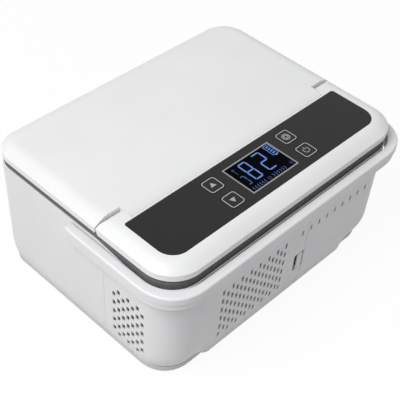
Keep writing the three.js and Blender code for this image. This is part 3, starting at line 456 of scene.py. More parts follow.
def soften(piece, width, segments=2, limit=32):
    """Rounds a piece's sharp edges over a width in millimetres."""
    bevel = piece.modifiers.new("soft edges", "BEVEL")
    bevel.width = width * MM
    bevel.segments = segments
    bevel.limit_method = "ANGLE"
    bevel.angle_limit = math.radians(limit)
    return smooth(settle(piece))


def dress(piece, name, body, slot, material, *nodes):
    """Names a finished piece, gives it its finish and says what it rides on and stands for."""
    piece.name = name
    piece.data.name = name
    piece.data.materials.clear()
    piece.data.materials.append(material)
    for face in piece.data.polygons:
        face.material_index = 0
    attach(piece, body)
    if nodes:
        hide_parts(*nodes)
    return piece


# Finishes

class Finish:
    """A material's nodes, with short calls for what they share."""

    def __init__(self, name, colour, roughness, metallic=0.0, specular=0.5):
        self.material = bpy.data.materials.new(name)
        self.material.use_nodes = True
        self.nodes = self.material.node_tree.nodes
        self.links = self.material.node_tree.links
        self.shader = self.nodes["Principled BSDF"]
        self.colour = colour
        self.roughness = roughness
        self.set("Base Color", (*colour, 1))
        self.set("Roughness", roughness)
        self.set("Metallic", metallic)
        self.set("Specular IOR Level", specular)

    def set(self, socket, value):
        self.shader.inputs[socket].default_value = value

    def place(self, stretch=(1, 1, 1)):
        source = self.nodes.new("ShaderNodeTexCoord")
        mapping = self.nodes.new("ShaderNodeMapping")
        mapping.inputs["Scale"].default_value = stretch
        self.links.new(source.outputs["Object"], mapping.inputs["Vector"])
        return mapping.outputs["Vector"]

    def noise(self, grain, stretch=(1, 1, 1), detail=3.0):
        """Noise whose features are about grain millimetres across."""
        texture = self.nodes.new("ShaderNodeTexNoise")
        texture.inputs["Scale"].default_value = 1 / (grain * MM)
        texture.inputs["Detail"].default_value = detail
        self.links.new(self.place(stretch), texture.inputs["Vector"])
        return texture.outputs["Fac"]

    def cells(self, grain, feature="F1"):
        texture = self.nodes.new("ShaderNodeTexVoronoi")
        texture.feature = feature
        texture.inputs["Scale"].default_value = 1 / (grain * MM)
        self.links.new(self.place(), texture.inputs["Vector"])
        return texture.outputs["Distance"]

    def ranged(self, value, low, high):
        remap = self.nodes.new("ShaderNodeMapRange")
        remap.inputs["To Min"].default_value = low
        remap.inputs["To Max"].default_value = high
        self.links.new(value, remap.inputs["Value"])
        return remap.outputs["Result"]

    def bump(self, height, depth):
        """Relief from a height, depth millimetres deep."""
        relief = self.nodes.new("ShaderNodeBump")
        relief.inputs["Strength"].default_value = 1
        relief.inputs["Distance"].default_value = depth * MM
        self.links.new(height, relief.inputs["Height"])
        self.links.new(relief.outputs["Normal"], self.shader.inputs["Normal"])

    def vary_roughness(self, value, spread):
        self.links.new(
            self.ranged(value, self.roughness - spread, self.roughness + spread),
            self.shader.inputs["Roughness"],
        )

    def vary_colour(self, value, other, low=0.35, high=0.65):
        """Fades the colour to another one as a value goes from low to high."""
        ramp = self.nodes.new("ShaderNodeValToRGB")
        ramp.color_ramp.elements[0].position = low
        ramp.color_ramp.elements[0].color = (*self.colour, 1)
        ramp.color_ramp.elements[1].position = high
        ramp.color_ramp.elements[1].color = (*other, 1)
        self.links.new(value, ramp.inputs["Fac"])
        self.links.new(ramp.outputs["Color"], self.shader.inputs["Base Color"])

    def glow(self, colour, strength):
        self.set("Emission Color", (*colour, 1))
        self.set("Emission Strength", strength)


def scaled(colour, by):
    return tuple(channel * by for channel in colour)


def moulded(name, colour, roughness, grain, relief, specular=0.5):
    """Moulded plastic: a fine eroded grain, and a slight drift in colour and gloss over the surface."""
    finish = Finish(name, colour, roughness, specular=specular)
    finish.bump(finish.noise(grain), relief)
    finish.vary_roughness(finish.noise(grain=9, detail=4), spread=0.05)
    finish.vary_colour(finish.noise(grain=38, detail=2), scaled(colour, 0.975))
    return finish.material


def rubber(name, colour):
    finish = Finish(name, colour, 0.72, specular=0.3)
    finish.bump(finish.noise(grain=0.5), depth=0.03)
    finish.vary_roughness(finish.noise(grain=6), spread=0.08)
    finish.vary_colour(finish.noise(grain=3), scaled(colour, 1.25))
    return finish.material


def brushed(name, colour, roughness, along):
    """Metal with fine lines along an axis."""
    finish = Finish(name, colour, roughness, metallic=1.0)
    stretch = [0.02 if axis == along else 1 for axis in "XYZ"]
    lines = finish.noise(grain=0.35, stretch=stretch)
    finish.bump(lines, depth=0.008)
    finish.vary_roughness(lines, spread=0.1)
    finish.vary_colour(finish.noise(grain=14), scaled(colour, 0.93))
    return finish.material


def foam(name, colour):
    finish = Finish(name, colour, 0.95, specular=0.2)
    bubbles = finish.cells(grain=1.1)
    finish.bump(bubbles, depth=0.25)
    finish.vary_colour(bubbles, scaled(colour, 0.8), low=0.1, high=0.7)
    return finish.material


def circuit_board(name, colour):
    finish = Finish(name, colour, 0.35)
    traces = finish.cells(grain=3.2, feature="DISTANCE_TO_EDGE")
    finish.vary_colour(traces, scaled(colour, 0.6), low=0.04, high=0.09)
    finish.bump(traces, depth=0.02)
    finish.vary_roughness(finish.noise(grain=2), spread=0.08)
    return finish.material


def dark_glass(name):
    finish = Finish(name, (0.0012, 0.0013, 0.0026), 0.09, specular=0.01)
    finish.vary_roughness(finish.noise(grain=7, detail=5), spread=0.04)
    finish.vary_colour(finish.noise(grain=12), (0.0016, 0.002, 0.0045))
    return finish.material


def lit(name, colour, strength):
    """A lit mark behind the display's window, with the fine dots of its panel."""
    finish = Finish(name, scaled(colour, 0.15), 0.4, specular=0.1)
    finish.glow(colour, strength)
    dots = finish.ranged(finish.cells(grain=0.32), strength * 1.12, strength * 0.75)
    finish.links.new(dots, finish.shader.inputs["Emission Strength"])
    return finish.material


def ink(name, colour):
    finish = Finish(name, colour, 0.45, specular=0.3)
    finish.bump(finish.noise(grain=0.25), depth=0.006)
    finish.vary_colour(finish.noise(grain=1.5), scaled(colour, 0.88))
    return finish.material


WHITE = (0.80, 0.80, 0.805)
SHELL_WHITE = moulded("satin_white_shell", WHITE, roughness=0.46, grain=0.45, relief=0.012)
TOP_WHITE = moulded("smooth_white_top", (0.82, 0.82, 0.82), roughness=0.34, grain=0.7, relief=0.006)
BASE_WHITE = moulded("grained_base", (0.66, 0.66, 0.67), roughness=0.55, grain=0.5, relief=0.02)
INNER_WHITE = moulded("inner_white", (0.76, 0.77, 0.775), roughness=0.42, grain=0.6, relief=0.01)
DARK_FILM = moulded(
    "dark_panel_film", (0.014, 0.014, 0.014), roughness=0.42, grain=0.3, relief=0.004, specular=0.2
)
BLACK = moulded("black_plastic", (0.016, 0.016, 0.018), roughness=0.5, grain=0.5, relief=0.015)
CERAMIC = moulded("white_ceramic", (0.75, 0.75, 0.71), roughness=0.6, grain=0.35, relief=0.01)
CELL_WRAP = moulded("cell_wrap", (0.03, 0.12, 0.33), roughness=0.3, grain=1.5, relief=0.01)
GASKET_GREY = rubber("gasket_rubber", (0.112, 0.113, 0.117))
FOOT_GREY = rubber("foot_rubber", (0.028, 0.028, 0.03))
ALUMINIUM = brushed("tub_aluminium", (0.66, 0.68, 0.70), roughness=0.34, along="X")
BEZEL_METAL = brushed("display_bezel_metal", (0.31, 0.305, 0.30), roughness=0.32, along="X")
STEEL = brushed("plain_steel", (0.50, 0.51, 0.53), roughness=0.3, along="Z")
NICKEL = brushed("magnet_nickel", (0.42, 0.43, 0.45), roughness=0.25, along="X")
BRASS = brushed("contact_brass", (0.66, 0.46, 0.19), roughness=0.3, along="X")
FOAM = foam("closed_cell_foam", (0.62, 0.64, 0.65))
BOARD = circuit_board("green_board", (0.012, 0.11, 0.045))
GLASS = dark_glass("display_window")
LIT_BLUE = lit("lit_blue", (0.125, 0.255, 0.62), strength=1.0)
DIM_BLUE = lit("dim_blue", (0.075, 0.14, 0.36), strength=0.95)
DIM_VIOLET = lit("dim_violet", (0.055, 0.042, 0.145), strength=0.8)
PRINT_GREY = ink("printed_grey", (0.42, 0.42, 0.42))


# Geometry node trees

def new_tree(name, inputs):
    tree = bpy.data.node_groups.new(name, "GeometryNodeTree")
    tree.interface.new_socket("Geometry", in_out="OUTPUT", socket_type="NodeSocketGeometry")
    tree.interface.new_socket("Geometry", in_out="INPUT", socket_type="NodeSocketGeometry")
    for socket, kind in inputs:
        tree.interface.new_socket(socket, in_out="INPUT", socket_type=f"NodeSocket{kind}")
    return tree, tree.nodes.new("NodeGroupInput"), tree.nodes.new("NodeGroupOutput")


def node(tree, kind, links=None, **settings):
    """Adds a node, with its settings, and its inputs given as sockets to link or values to set."""
    made = tree.nodes.new(kind)
    for setting, value in settings.items():
        setattr(made, setting, value)
    for socket, value in (links or {}).items():
        if isinstance(value, bpy.types.NodeSocket):
            tree.links.new(value, made.inputs[socket])
        else:
            made.inputs[socket].default_value = value
    return made


def math_node(tree, operation, a, b):
    return node(tree, "ShaderNodeMath", {0: a, 1: b}, operation=operation).outputs[0]


def end_tree(tree, output, geometry, material):
    realized = node(tree, "GeometryNodeRealizeInstances", {"Geometry": geometry})
    finished = node(
        tree, "GeometryNodeSetMaterial", {"Geometry": realized.outputs["Geometry"], "Material": material}
    )
    tree.links.new(finished.outputs["Geometry"], output.inputs["Geometry"])


def run_tree(piece, tree, **values):
    """Runs a tree on a piece and bakes the result. Spaces in input names are written as underscores."""
    modifier = piece.modifiers.new(tree.name, "NODES")
    modifier.node_group = tree
    identifiers = {i.name: i.identifier for i in tree.interface.items_tree if i.in_out == "INPUT"}
    for name, value in values.items():
        modifier[identifiers[name.replace("_", " ")]] = value
    return settle(piece)


def make_slot_tree():
    """Cuts a field of upright slots, every second place of a grid, through the wall it is run on."""
    tree, given, output = new_tree("vent_slots", [
        ("Columns", "Int"), ("Rows", "Int"), ("Column Pitch", "Float"), ("Row Pitch", "Float"),
        ("Slot Width", "Float"), ("Slot Height", "Float"), ("Depth", "Float"), ("First", "Int"),
        ("Middle", "Vector"), ("Turn", "Vector"), ("Material", "Material"),
    ])
    value = given.outputs
    rows_less = math_node(tree, "SUBTRACT", value["Rows"], 1)
    columns_less = math_node(tree, "SUBTRACT", value["Columns"], 1)
    half_rows = math_node(tree, "ADD", math_node(tree, "MULTIPLY", rows_less, 2), 1)
    grid = node(tree, "GeometryNodeMeshGrid", {
        "Size X": math_node(tree, "MULTIPLY", columns_less, value["Column Pitch"]),
        "Size Y": math_node(tree, "MULTIPLY", rows_less, value["Row Pitch"]),
        "Vertices X": value["Columns"],
        "Vertices Y": half_rows,
    })
    index = node(tree, "GeometryNodeInputIndex").outputs["Index"]
    odd = math_node(tree, "MODULO", index, 2)
    chosen = node(tree, "FunctionNodeCompare", {"A": odd, "B": value["First"]}, operation="EQUAL")
    edge = node(tree, "GeometryNodeCurvePrimitiveQuadrilateral", {
        "Width": value["Slot Width"], "Height": value["Slot Height"],
    })
    rounded = node(tree, "GeometryNodeFilletCurve", {
        "Curve": edge.outputs["Curve"], "Count": 3,
        "Radius": math_node(tree, "MULTIPLY", value["Slot Width"], SLOT_ROUND_SHARE),
    }, mode="POLY")
    face = node(tree, "GeometryNodeFillCurve", {"Curve": rounded.outputs["Curve"]}, mode="NGONS")
    pushed = node(tree, "GeometryNodeExtrudeMesh", {
        "Mesh": face.outputs["Mesh"], "Offset Scale": value["Depth"], "Individual": False,
    })
    back = node(tree, "GeometryNodeFlipFaces", {"Mesh": face.outputs["Mesh"]})
    both = node(tree, "GeometryNodeJoinGeometry")
    tree.links.new(pushed.outputs["Mesh"], both.inputs["Geometry"])
    tree.links.new(back.outputs["Mesh"], both.inputs["Geometry"])
    closed = node(tree, "GeometryNodeMergeByDistance", {
        "Geometry": both.outputs["Geometry"], "Distance": 10 * SAME_POINT,
    })
    half_back = node(tree, "ShaderNodeCombineXYZ", {"Z": math_node(tree, "MULTIPLY", value["Depth"], -0.5)})
    centred = node(tree, "GeometryNodeTransform", {
        "Geometry": closed.outputs["Geometry"], "Translation": half_back.outputs["Vector"],
    })
    copies = node(tree, "GeometryNodeInstanceOnPoints", {
        "Points": grid.outputs["Mesh"], "Selection": chosen.outputs["Result"],
        "Instance": centred.outputs["Geometry"],
    })
    solid = node(tree, "GeometryNodeRealizeInstances", {"Geometry": copies.outputs["Instances"]})
    placed = node(tree, "GeometryNodeTransform", {
        "Geometry": solid.outputs["Geometry"], "Translation": value["Middle"], "Rotation": value["Turn"],
    })
    holed = node(tree, "GeometryNodeMeshBoolean", {"Mesh 1": value["Geometry"]}, operation="DIFFERENCE")
    holed.solver = "MANIFOLD"
    tree.links.new(placed.outputs["Geometry"], holed.inputs["Mesh 2"])
    end_tree(tree, output, holed.outputs["Mesh"], value["Material"])
    return tree


def make_copies_tree():
    """Puts a copy of a shape on every point of the mesh it is run on."""
    tree, given, output = new_tree("copies_at_places", [("Shape", "Object"), ("Material", "Material")])
    shape = node(tree, "GeometryNodeObjectInfo", {"Object": given.outputs["Shape"]})
    copies = node(tree, "GeometryNodeInstanceOnPoints", {
        "Points": given.outputs["Geometry"], "Instance": shape.outputs["Geometry"],
    })
    end_tree(tree, output, copies.outputs["Instances"], given.outputs["Material"])
    return tree


def make_blades_tree():
    """Turns copies of a blade evenly about an axis along Y through the origin."""
    tree, given, output = new_tree("fan_blades", [("Count", "Int"), ("Material", "Material")])
    points = node(tree, "GeometryNodeMeshLine", {"Count": given.outputs["Count"], "Offset": (0, 0, 0)})
    index = node(tree, "GeometryNodeInputIndex").outputs["Index"]
    turn = math_node(tree, "DIVIDE", math_node(tree, "MULTIPLY", index, 2 * math.pi), given.outputs["Count"])
    rotation = node(tree, "ShaderNodeCombineXYZ", {"Y": turn})
    copies = node(tree, "GeometryNodeInstanceOnPoints", {
        "Points": points.outputs["Mesh"], "Instance": given.outputs["Geometry"],
    })
    tree.links.new(rotation.outputs["Vector"], copies.inputs["Rotation"])
    end_tree(tree, output, copies.outputs["Instances"], given.outputs["Material"])
    return tree


SLOT_TREE = make_slot_tree()
COPIES_TREE = make_copies_tree()
BLADES_TREE = make_blades_tree()


def cut_slots(wall, columns, rows, first, middle, turn, width=SLOT_WIDTH):
    return run_tree(
        wall, SLOT_TREE, Columns=columns, Rows=rows, First=first,
        Column_Pitch=SLOT_PITCH * MM, Row_Pitch=SLOT_ROW_PITCH * MM,
        Slot_Width=width * MM, Slot_Height=SLOT_HEIGHT * MM, Depth=4 * WALL * MM,
        Middle=[v * MM for v in middle], Turn=turn, Material=SHELL_WHITE,
    )


def copies_at(places, shape, material):
    """One mesh with a shape, modelled about the origin, at each place."""
    copies = run_tree(new_solid(places, []), COPIES_TREE, Shape=shape, Material=material)
    bpy.data.objects.remove(shape)
    return copies


# Case walls and covers

def wall_inset(z):
    """How far the outer wall is drawn in at a height, with its lower bend rounded."""
    if z < Z_SEAM:
        return SEAM_INSET + SKIRT_LEAN * (Z_SEAM - z) / SKIRT_DROP
    height = Z_RIM - Z_SEAM - LOWER_BEND
    if z >= Z_SEAM + 2 * LOWER_BEND:
        return WALL_LEAN * (Z_RIM - z) / height
    t = (z - Z_SEAM) / (2 * LOWER_BEND)
    end = WALL_LEAN * (height - LOWER_BEND) / height
    return (1 - t) ** 2 * SEAM_INSET + 2 * t * (1 - t) * WALL_LEAN + t * t * end


def tucked(share):
    """The case's plan with its front drawn back and its front corners rounder, as they are at the base."""
    return CASE._replace(y0=CASE.y0 + FRONT_TUCK * share, front=CASE.front + CORNER_GROWTH * share)


def wall_ring(extra, z):
    """The wall's outline at a height. Its middle stretch at the front stays straight, over the base."""
    share = (1 - min(max((z - Z_SEAM) / (2 * LOWER_BEND), 0), 1)) ** 2
    inset = wall_inset(min(z, Z_RIM)) + extra
    points = outline(tucked(share), inset)
    y = points[-1][1]
    wave = []
    for step in range(WAVE_STEPS + 1):
        along = step / WAVE_STEPS
        wave.append((CASE.x0 + SKIRT_END + SKIRT_CURVE * along, y - FRONT_TUCK * share * eased(along)))
    points += [*wave, *((-x, wave_y) for x, wave_y in reversed(wave))]
    return [(x, wall_y, z) for x, wall_y in points]


def wall_solid(extra, z_from, z_to):
    bend = [Z_SEAM + 2 * LOWER_BEND * step / BEND_STEPS for step in range(BEND_STEPS + 1)]
    return skin([wall_ring(extra, z) for z in (z_from, *bend, z_to)])


def wall_tube():
    return cut(wall_solid(0, Z_SKIRT, Z_RIM), wall_solid(WALL, Z_SKIRT - PAST, Z_RIM + PAST))


def skirt_edge(side, z_high, inset):
    """The covers' lower edge as it drops over the base in an S curve, towards the middle, on one side."""
    start = CASE.x1 - SKIRT_END - inset
    curve = []
    for step in range(WAVE_STEPS + 1):
        share = step / WAVE_STEPS
        z = z_high - (z_high - Z_SKIRT_PAST) * eased(share)
        curve.append((side * (start - SKIRT_CURVE * share), z))
    return curve


def cover_space(side):
    """Room of one front cover: left with side -1, right with side 1."""
    seam_x = X_FRONT_SEAM + side * COVER_GAP
    outer_x = side * (CASE.x1 + PAST)
    top, bottom = Z_COVER_TOP - COVER_GAP, Z_SEAM + COVER_GAP
    drop = skirt_edge(side, bottom, COVER_GAP)
    points = [(outer_x, top), (outer_x, bottom), *drop, (seam_x, Z_SKIRT_PAST), (seam_x, top)]
    return prism(points, (CASE.y0 - PAST, Y_SIDE_SEAM - COVER_GAP), "Y")


def screw_places():
    return [node_middle(name)[:2] for name in SCREWS]


def shade_lip_space(outer):
    """Room of the gasket's dark lip behind the handle, from an outer inset to the lip's inner face; the lip
    is partly painted shade.
    """
    # The lip's dark rubber drops below the rim as painted shade for the gap between the handle and the wall.
    z0, z1 = Z_RIM - LIP_DROP, Z_RIM - RIM_SINK / 2
    lip = slab(CASE, z0, z1, outer)
    cut(lip, slab(CASE, z0 - PAST, z1 + PAST, GASKET_OUTER + LIP_THICKNESS))
    front = CASE.y0 - 2 * PAST
    slant = [(front, z0), (Y_LID_SEAM - LIP_RISE, z0), (Y_LID_SEAM + LIP_RISE, z1), (front, z1)]
    return keep(lip, prism(slant, EVERY_X, "X"))


def make_outer_shell():
    shell = wall_tube()
    cut(
        shell,
        block(EVERY_X, EVERY_Y, (Z_SKIRT - PAST, Z_SEAM)),
        block(EVERY_X, (CASE.y0 - PAST, Y_SIDE_SEAM), (Z_SEAM - PAST, Z_COVER_TOP)),
    )
    flange = slab(CASE, Z_RIM - FLANGE_THICKNESS, Z_RIM, WALL / 2)
    cut(flange, slab(CASE, Z_RIM - FLANGE_THICKNESS - PAST, Z_RIM + PAST, FLANGE_WIDTH))
    inner = [block(EVERY_X, (BULKHEAD_Y, BULKHEAD_Y + BULKHEAD_THICKNESS), (Z_SEAM, deck_low[2]))]
    board_low = node_box("power_board")[0]
    for side in (-1, 1):
        x = side * LEDGE_SPACING / 2
        inner.append(block(
            (x - LEDGE_WIDTH / 2, x + LEDGE_WIDTH / 2),
            (board_low[1] + GAP, BULKHEAD_Y + PAST),
            (board_low[2] - LEDGE_HEIGHT, board_low[2]),
        ))
    for x, y in screw_places():
        inner.append(rod(POST_RADIUS, (Z_SEAM, Z_SEAM + POST_HEIGHT), (x, y), "Z"))
        if y > BULKHEAD_Y:
            web = (x - WEB_THICKNESS / 2, x + WEB_THICKNESS / 2)
            inner.append(block(web, (y, CASE.y1), (Z_SEAM, Z_SEAM + POST_HEIGHT)))
    skeleton = join(*inner)
    keep(skeleton, wall_solid(WALL / 2, Z_SEAM - PAST, Z_RIM))
    join(shell, flange, skeleton)
    lowered = slab(CASE, Z_RIM - RIM_SINK, Z_RIM + PAST, -PAST)
    cut(lowered, slab(CASE, Z_RIM - RIM_SINK - PAST, Z_RIM + 2 * PAST, GASKET_INNER))
    # The wall is cut back where the gasket's dark lip, partly painted shade, drops below the rim behind the
    # handle.
    cut(shell, lowered, shade_lip_space(-PAST))
    window_low, window_high = node_box("cold_block")
    socket_low, socket_high = node_box("dc_socket")
    socket_place = node_middle("dc_socket")[::2]
    socket_radius = (socket_high[0] - socket_low[0]) / 2 + GAP
    cut(
        shell,
        block(
            (window_low[0] - GAP, window_high[0] + GAP),
            (BULKHEAD_Y - PAST, BULKHEAD_Y + BULKHEAD_THICKNESS + PAST),
            (window_low[2] - GAP, window_high[2] + GAP),
        ),
        rod(socket_radius, (CASE.y1 - FLANGE_WIDTH, CASE.y1 + PAST), socket_place, "Y"),
        rod(HANDLE_SOCKET, (CASE.x0 - PAST, CASE.x0 + 2 * WALL), (PIVOT_Y, PIVOT_Z), "X"),
        rod(HANDLE_SOCKET, (CASE.x1 - 2 * WALL, CASE.x1 + PAST), (PIVOT_Y, PIVOT_Z), "X"),
    )
    return dress(soften(shell, 0.35), "shell", "case", "white_shell", SHELL_WHITE, "outer_shell")


def make_base_plate():
    inset = SEAM_INSET + BASE_STEP
    z_groove = Z_SEAM - GROOVE_HEIGHT
    base = loft(tucked(1), [
        (inset + BASE_LEAN + BASE_TOE, base_low[2]), (inset + BASE_LEAN, base_low[2] + BASE_TOE_HEIGHT),
        (inset, z_groove), (inset + GROOVE_DEPTH, z_groove), (inset + GROOVE_DEPTH, Z_SEAM),
    ])
    cut(base, slab(tucked(1), base_low[2] + BASE_FLOOR, Z_SEAM + PAST, inset + WALL))
    join(base, *[rod(POST_RADIUS, (base_low[2] + PAST, Z_SEAM), place, "Z") for place in screw_places()])
    left = [(x, max(z, Z_SKIRT - SEAM_GAP)) for x, z in skirt_edge(-1, Z_SEAM, 0)]
    left.insert(0, (left[0][0], Z_SEAM + PAST))
    right = [(-x, z) for x, z in reversed(left)]
    notch_depth = SEAM_INSET + SKIRT_LEAN + WALL + FRONT_TUCK + GAP
    cut(base, prism([*left, *right], (CASE.y0 - PAST, CASE.y0 + notch_depth), "Y"))
    for name, place in zip(SCREWS, screw_places()):
        low, high = node_box(name)
        head = (high[0] - low[0]) / 2 + GAP
        cut(base, rod(head, (base_low[2] - PAST, low[2] + SCREW_HEAD_HEIGHT), place, "Z"))
        cut(base, rod(head / 2, (base_low[2] - PAST, Z_SEAM + PAST), place, "Z"))
    return dress(soften(base, 0.5), "base_tray", "case", "base_plastic", BASE_WHITE, "base_plate")


def row_heights():
    first = Z_COVER_TOP - SLOT_TOP_DROP
    return first, first - (SLOT_ROWS - 1) * SLOT_ROW_PITCH


FRONT_SLOT_END = X_FRONT_SEAM - FRONT_SLOT_TO_SEAM
FACING_FRONT = (math.pi / 2, 0, 0)
FACING_LEFT = (math.pi / 2, 0, -math.pi / 2)


def top_row_places():
    """Single slots that carry the top row on past the full columns, to the right corner."""
    x = FRONT_SLOT_END + 4 * SLOT_PITCH
    places = []
    while x < CASE.x1 - FRONT_RADIUS - 2 * SLOT_WIDTH:
        places.append(x)
        x += 2 * SLOT_PITCH
    return places


def cut_top_row(wall, places):
    columns = 2 * len(places) - 1
    middle = (places[0] + places[-1]) / 2
    return cut_slots(wall, columns, 1, 0, (middle, CASE.y0, row_heights()[0]), FACING_FRONT, TOP_SLOT_WIDTH)


def make_vent_cover():
    cover = keep(wall_tube(), cover_space(-1))
    cut(cover, block(
        (tab_low[0] - TAB_SIDE_GAP, X_FRONT_SEAM + PAST),
        (CASE.y0 - PAST, CASE.y0 + FRONT_RADIUS),
        (tab_low[2] - GAP, tab_high[2] + TAB_TOP_GAP),
    ))
    top, bottom = row_heights()
    first = FRONT_SLOT_END - (FRONT_COLUMNS - 1) * SLOT_PITCH
    side_start = Y_SIDE_SEAM - SIDE_SLOT_TO_SEAM
    side_end = side_start - (SIDE_COLUMNS - 1) * SLOT_PITCH
    front_x = (first - SLOT_PITCH, FRONT_SLOT_END + SLOT_PITCH)
    side_y = (side_end - SLOT_PITCH, side_start + SLOT_PITCH)
    field_z = (bottom - SLOT_HEIGHT, top + SLOT_HEIGHT)
    fields = (
        block(front_x, (CASE.y0, CASE.y0 + 3 * WALL), field_z),
        block((CASE.x0, CASE.x0 + 3 * WALL), side_y, field_z),
    )
    cut(cover, *[keep(field, wall_solid(GRILLE_SKIN, Z_SKIRT, Z_RIM)) for field in fields])
    middle_z = (top + bottom) / 2
    front_middle = ((first + FRONT_SLOT_END) / 2, CASE.y0, middle_z)
    side_middle = (CASE.x0, (side_start + side_end) / 2, middle_z)
    cut_slots(cover, FRONT_COLUMNS, SLOT_ROWS, 0, front_middle, FACING_FRONT)
    cut_slots(cover, SIDE_COLUMNS, SLOT_ROWS, 1, side_middle, FACING_LEFT, SIDE_SLOT_WIDTH)
    cut_top_row(cover, [x for x in top_row_places() if x < X_FRONT_SEAM - SLOT_WIDTH])
    return dress(soften(cover, 0.15), "vent_grille", "case", "white_shell", SHELL_WHITE, "vent_cover")


def make_release_tab():
    x0, x1, z0, z1 = tab_low[0], tab_high[0], tab_low[2], tab_high[2]
    right = arc((x1 - TAB_ROUND, z1 - TAB_ROUND), TAB_ROUND, 0, 90, SMALL_CORNER_STEPS)
    left = arc((x0 + TAB_ROUND, z1 - TAB_ROUND), TAB_ROUND, 90, 180, SMALL_CORNER_STEPS)
    front = prism([(x0, z0), (x1, z0), *right, *left], (CASE.y0 - PAST, CASE.y0 + FRONT_RADIUS), "Y")
    tab = keep(wall_tube(), front)
    hook_top = z1 - TAB_TOP_GAP
    width = x1 - x0
    inner_face = CASE.y0 + wall_inset(hook_top) + WALL
    thinned_z = (z0 + TAB_HOOK, z1 + PAST)
    thinned = block((x0 - PAST, x0 + TAB_THINNED), (CASE.y0, CASE.y0 + FRONT_RADIUS), thinned_z)
    cut(tab, keep(thinned, wall_solid(TAB_SKIN, Z_SKIRT, Z_RIM)))
    join(tab, block(
        (x0 + width / 2, x1 - width / 6),
        (inner_face - WALL / 2, inner_face + TAB_HOOK),
        (hook_top - TAB_HOOK, hook_top),
    ))
    return dress(soften(tab, 0.35), "snap_tab", "tab", "white_shell", SHELL_WHITE, "release_tab")


def make_battery_pack():
    cover = keep(wall_tube(), cover_space(1))
    cut_top_row(cover, [x for x in top_row_places() if x > X_FRONT_SEAM + SLOT_WIDTH])
    x, y = (battery_low[0], battery_high[0]), (battery_low[1], battery_high[1])
    z = (node_box("battery_cell_1")[0][2] - PACK_WALL - PACK_CELL_GAP, battery_low[2])
    box = keep(block(x, y, z), wall_solid(WALL + GAP, Z_SKIRT, Z_RIM))
    middle = (x[0] + x[1]) / 2
    for side in (-1, 1):
        rib_x = middle + side * PACK_RIB_SPACING / 2
        rib = block((rib_x - PACK_RIB / 2, rib_x + PACK_RIB / 2), (CASE.y0, y[0] + PACK_WALL / 2), z)
        join(cover, keep(rib, wall_solid(WALL / 2, Z_SKIRT, Z_RIM)))
    join(cover, box)
    bay = block(
        (x[0] + PACK_WALL, x[1] - PACK_WALL),
        (y[0] + PACK_WALL, y[1] - PACK_WALL),
        (z[0] + PACK_WALL, z[1] + PAST),
    )
    cut(cover, keep(bay, wall_solid(WALL + GAP + PACK_WALL, Z_SKIRT, Z_RIM)))
    return dress(soften(cover, 0.25), "battery_case", "battery", "white_shell", SHELL_WHITE, "battery_pack")


# Top: gasket, lid and control housing

def slope_point(share):
    """Inset and height on the top's crowned slope, from its lower crease to the one at the top."""
    climb = Z_TOP - Z_UNDER - TOP_EDGE
    slope = math.hypot(TOP_BEVEL, climb)
    crown = 4 * BEVEL_CROWN * share * (1 - share)
    return Vector((
        TOP_BEVEL * share - crown * climb / slope,
        Z_UNDER + TOP_EDGE + climb * share + crown * TOP_BEVEL / slope,
    ))


def top_levels(extra, drop):
    """Levels of the top's upright edge, its slope, and the round from there into the flat top."""
    slope = math.hypot(TOP_BEVEL, Z_TOP - Z_UNDER - TOP_EDGE)
    last = 1 - CREASE_ROUND / slope
    points = [Vector((0, Z_UNDER))]
    points += [slope_point(last * step / TOP_STEPS) for step in range(TOP_STEPS + 1)]
    start = points[-1]
    along = start - points[-2]
    bend = start + along * (Z_TOP - start.y) / along.y
    end = Vector((TOP_BEVEL + CREASE_ROUND, Z_TOP))
    for step in range(1, TOP_STEPS + 1):
        t = step / TOP_STEPS
        points.append(start * (1 - t) ** 2 + bend * 2 * t * (1 - t) + end * t * t)
    return [(point.x + extra, point.y - drop) for point in points]


def top_block():
    return loft(CASE, top_levels(0, 0))


def pin_bores():
    bores = []
    for side in (-1, 1):
        low, high = node_box("hinge_pin_left" if side < 0 else "hinge_pin_right")
        bores.append(rod(PIN_BORE, (low[0] - GAP, high[0] + GAP), (HINGE_Y, HINGE_Z), "X"))
    return bores


def make_gasket():
    """A rubber ring that laps over the rim, with a shallow groove round it."""
    z0, z1 = Z_RIM - RIM_SINK, Z_UNDER
    middle, half = (z0 + z1) / 2, GASKET_GROOVE_HALF
    ring = loft(CASE, [
        (GASKET_OUTER, z0), (GASKET_OUTER, middle - half), (GASKET_OUTER + GASKET_GROOVE, middle - half / 2),
        (GASKET_OUTER + GASKET_GROOVE, middle + half / 2), (GASKET_OUTER, middle + half), (GASKET_OUTER, z1),
    ])
    cut(ring, slab(CASE, z0 - PAST, z1 + PAST, GASKET_INNER))
    # The dark lip behind the handle is rubber, and also painted shade for the gap between the handle and the
    # wall.
    join(ring, shade_lip_space(GASKET_OUTER))
    return dress(soften(ring, 0.2), "rim_gasket", "case", "gasket_rubber", GASKET_GREY, "gasket")


def lid_space():
    """The hollow in the lid, with the opening that its liner closes."""
    wide = keep(
        loft(CASE, top_levels(WALL, LID_SKIN)),
        block(EVERY_X, (Y_LID_HOLLOW, CASE.y1 + PAST), (Z_LID_FLANGE, Z_TOP)),
    )
    return join(wide, slab(LINER, Z_LID - PAST, Z_LID_FLANGE + PAST, LINER_LAP))


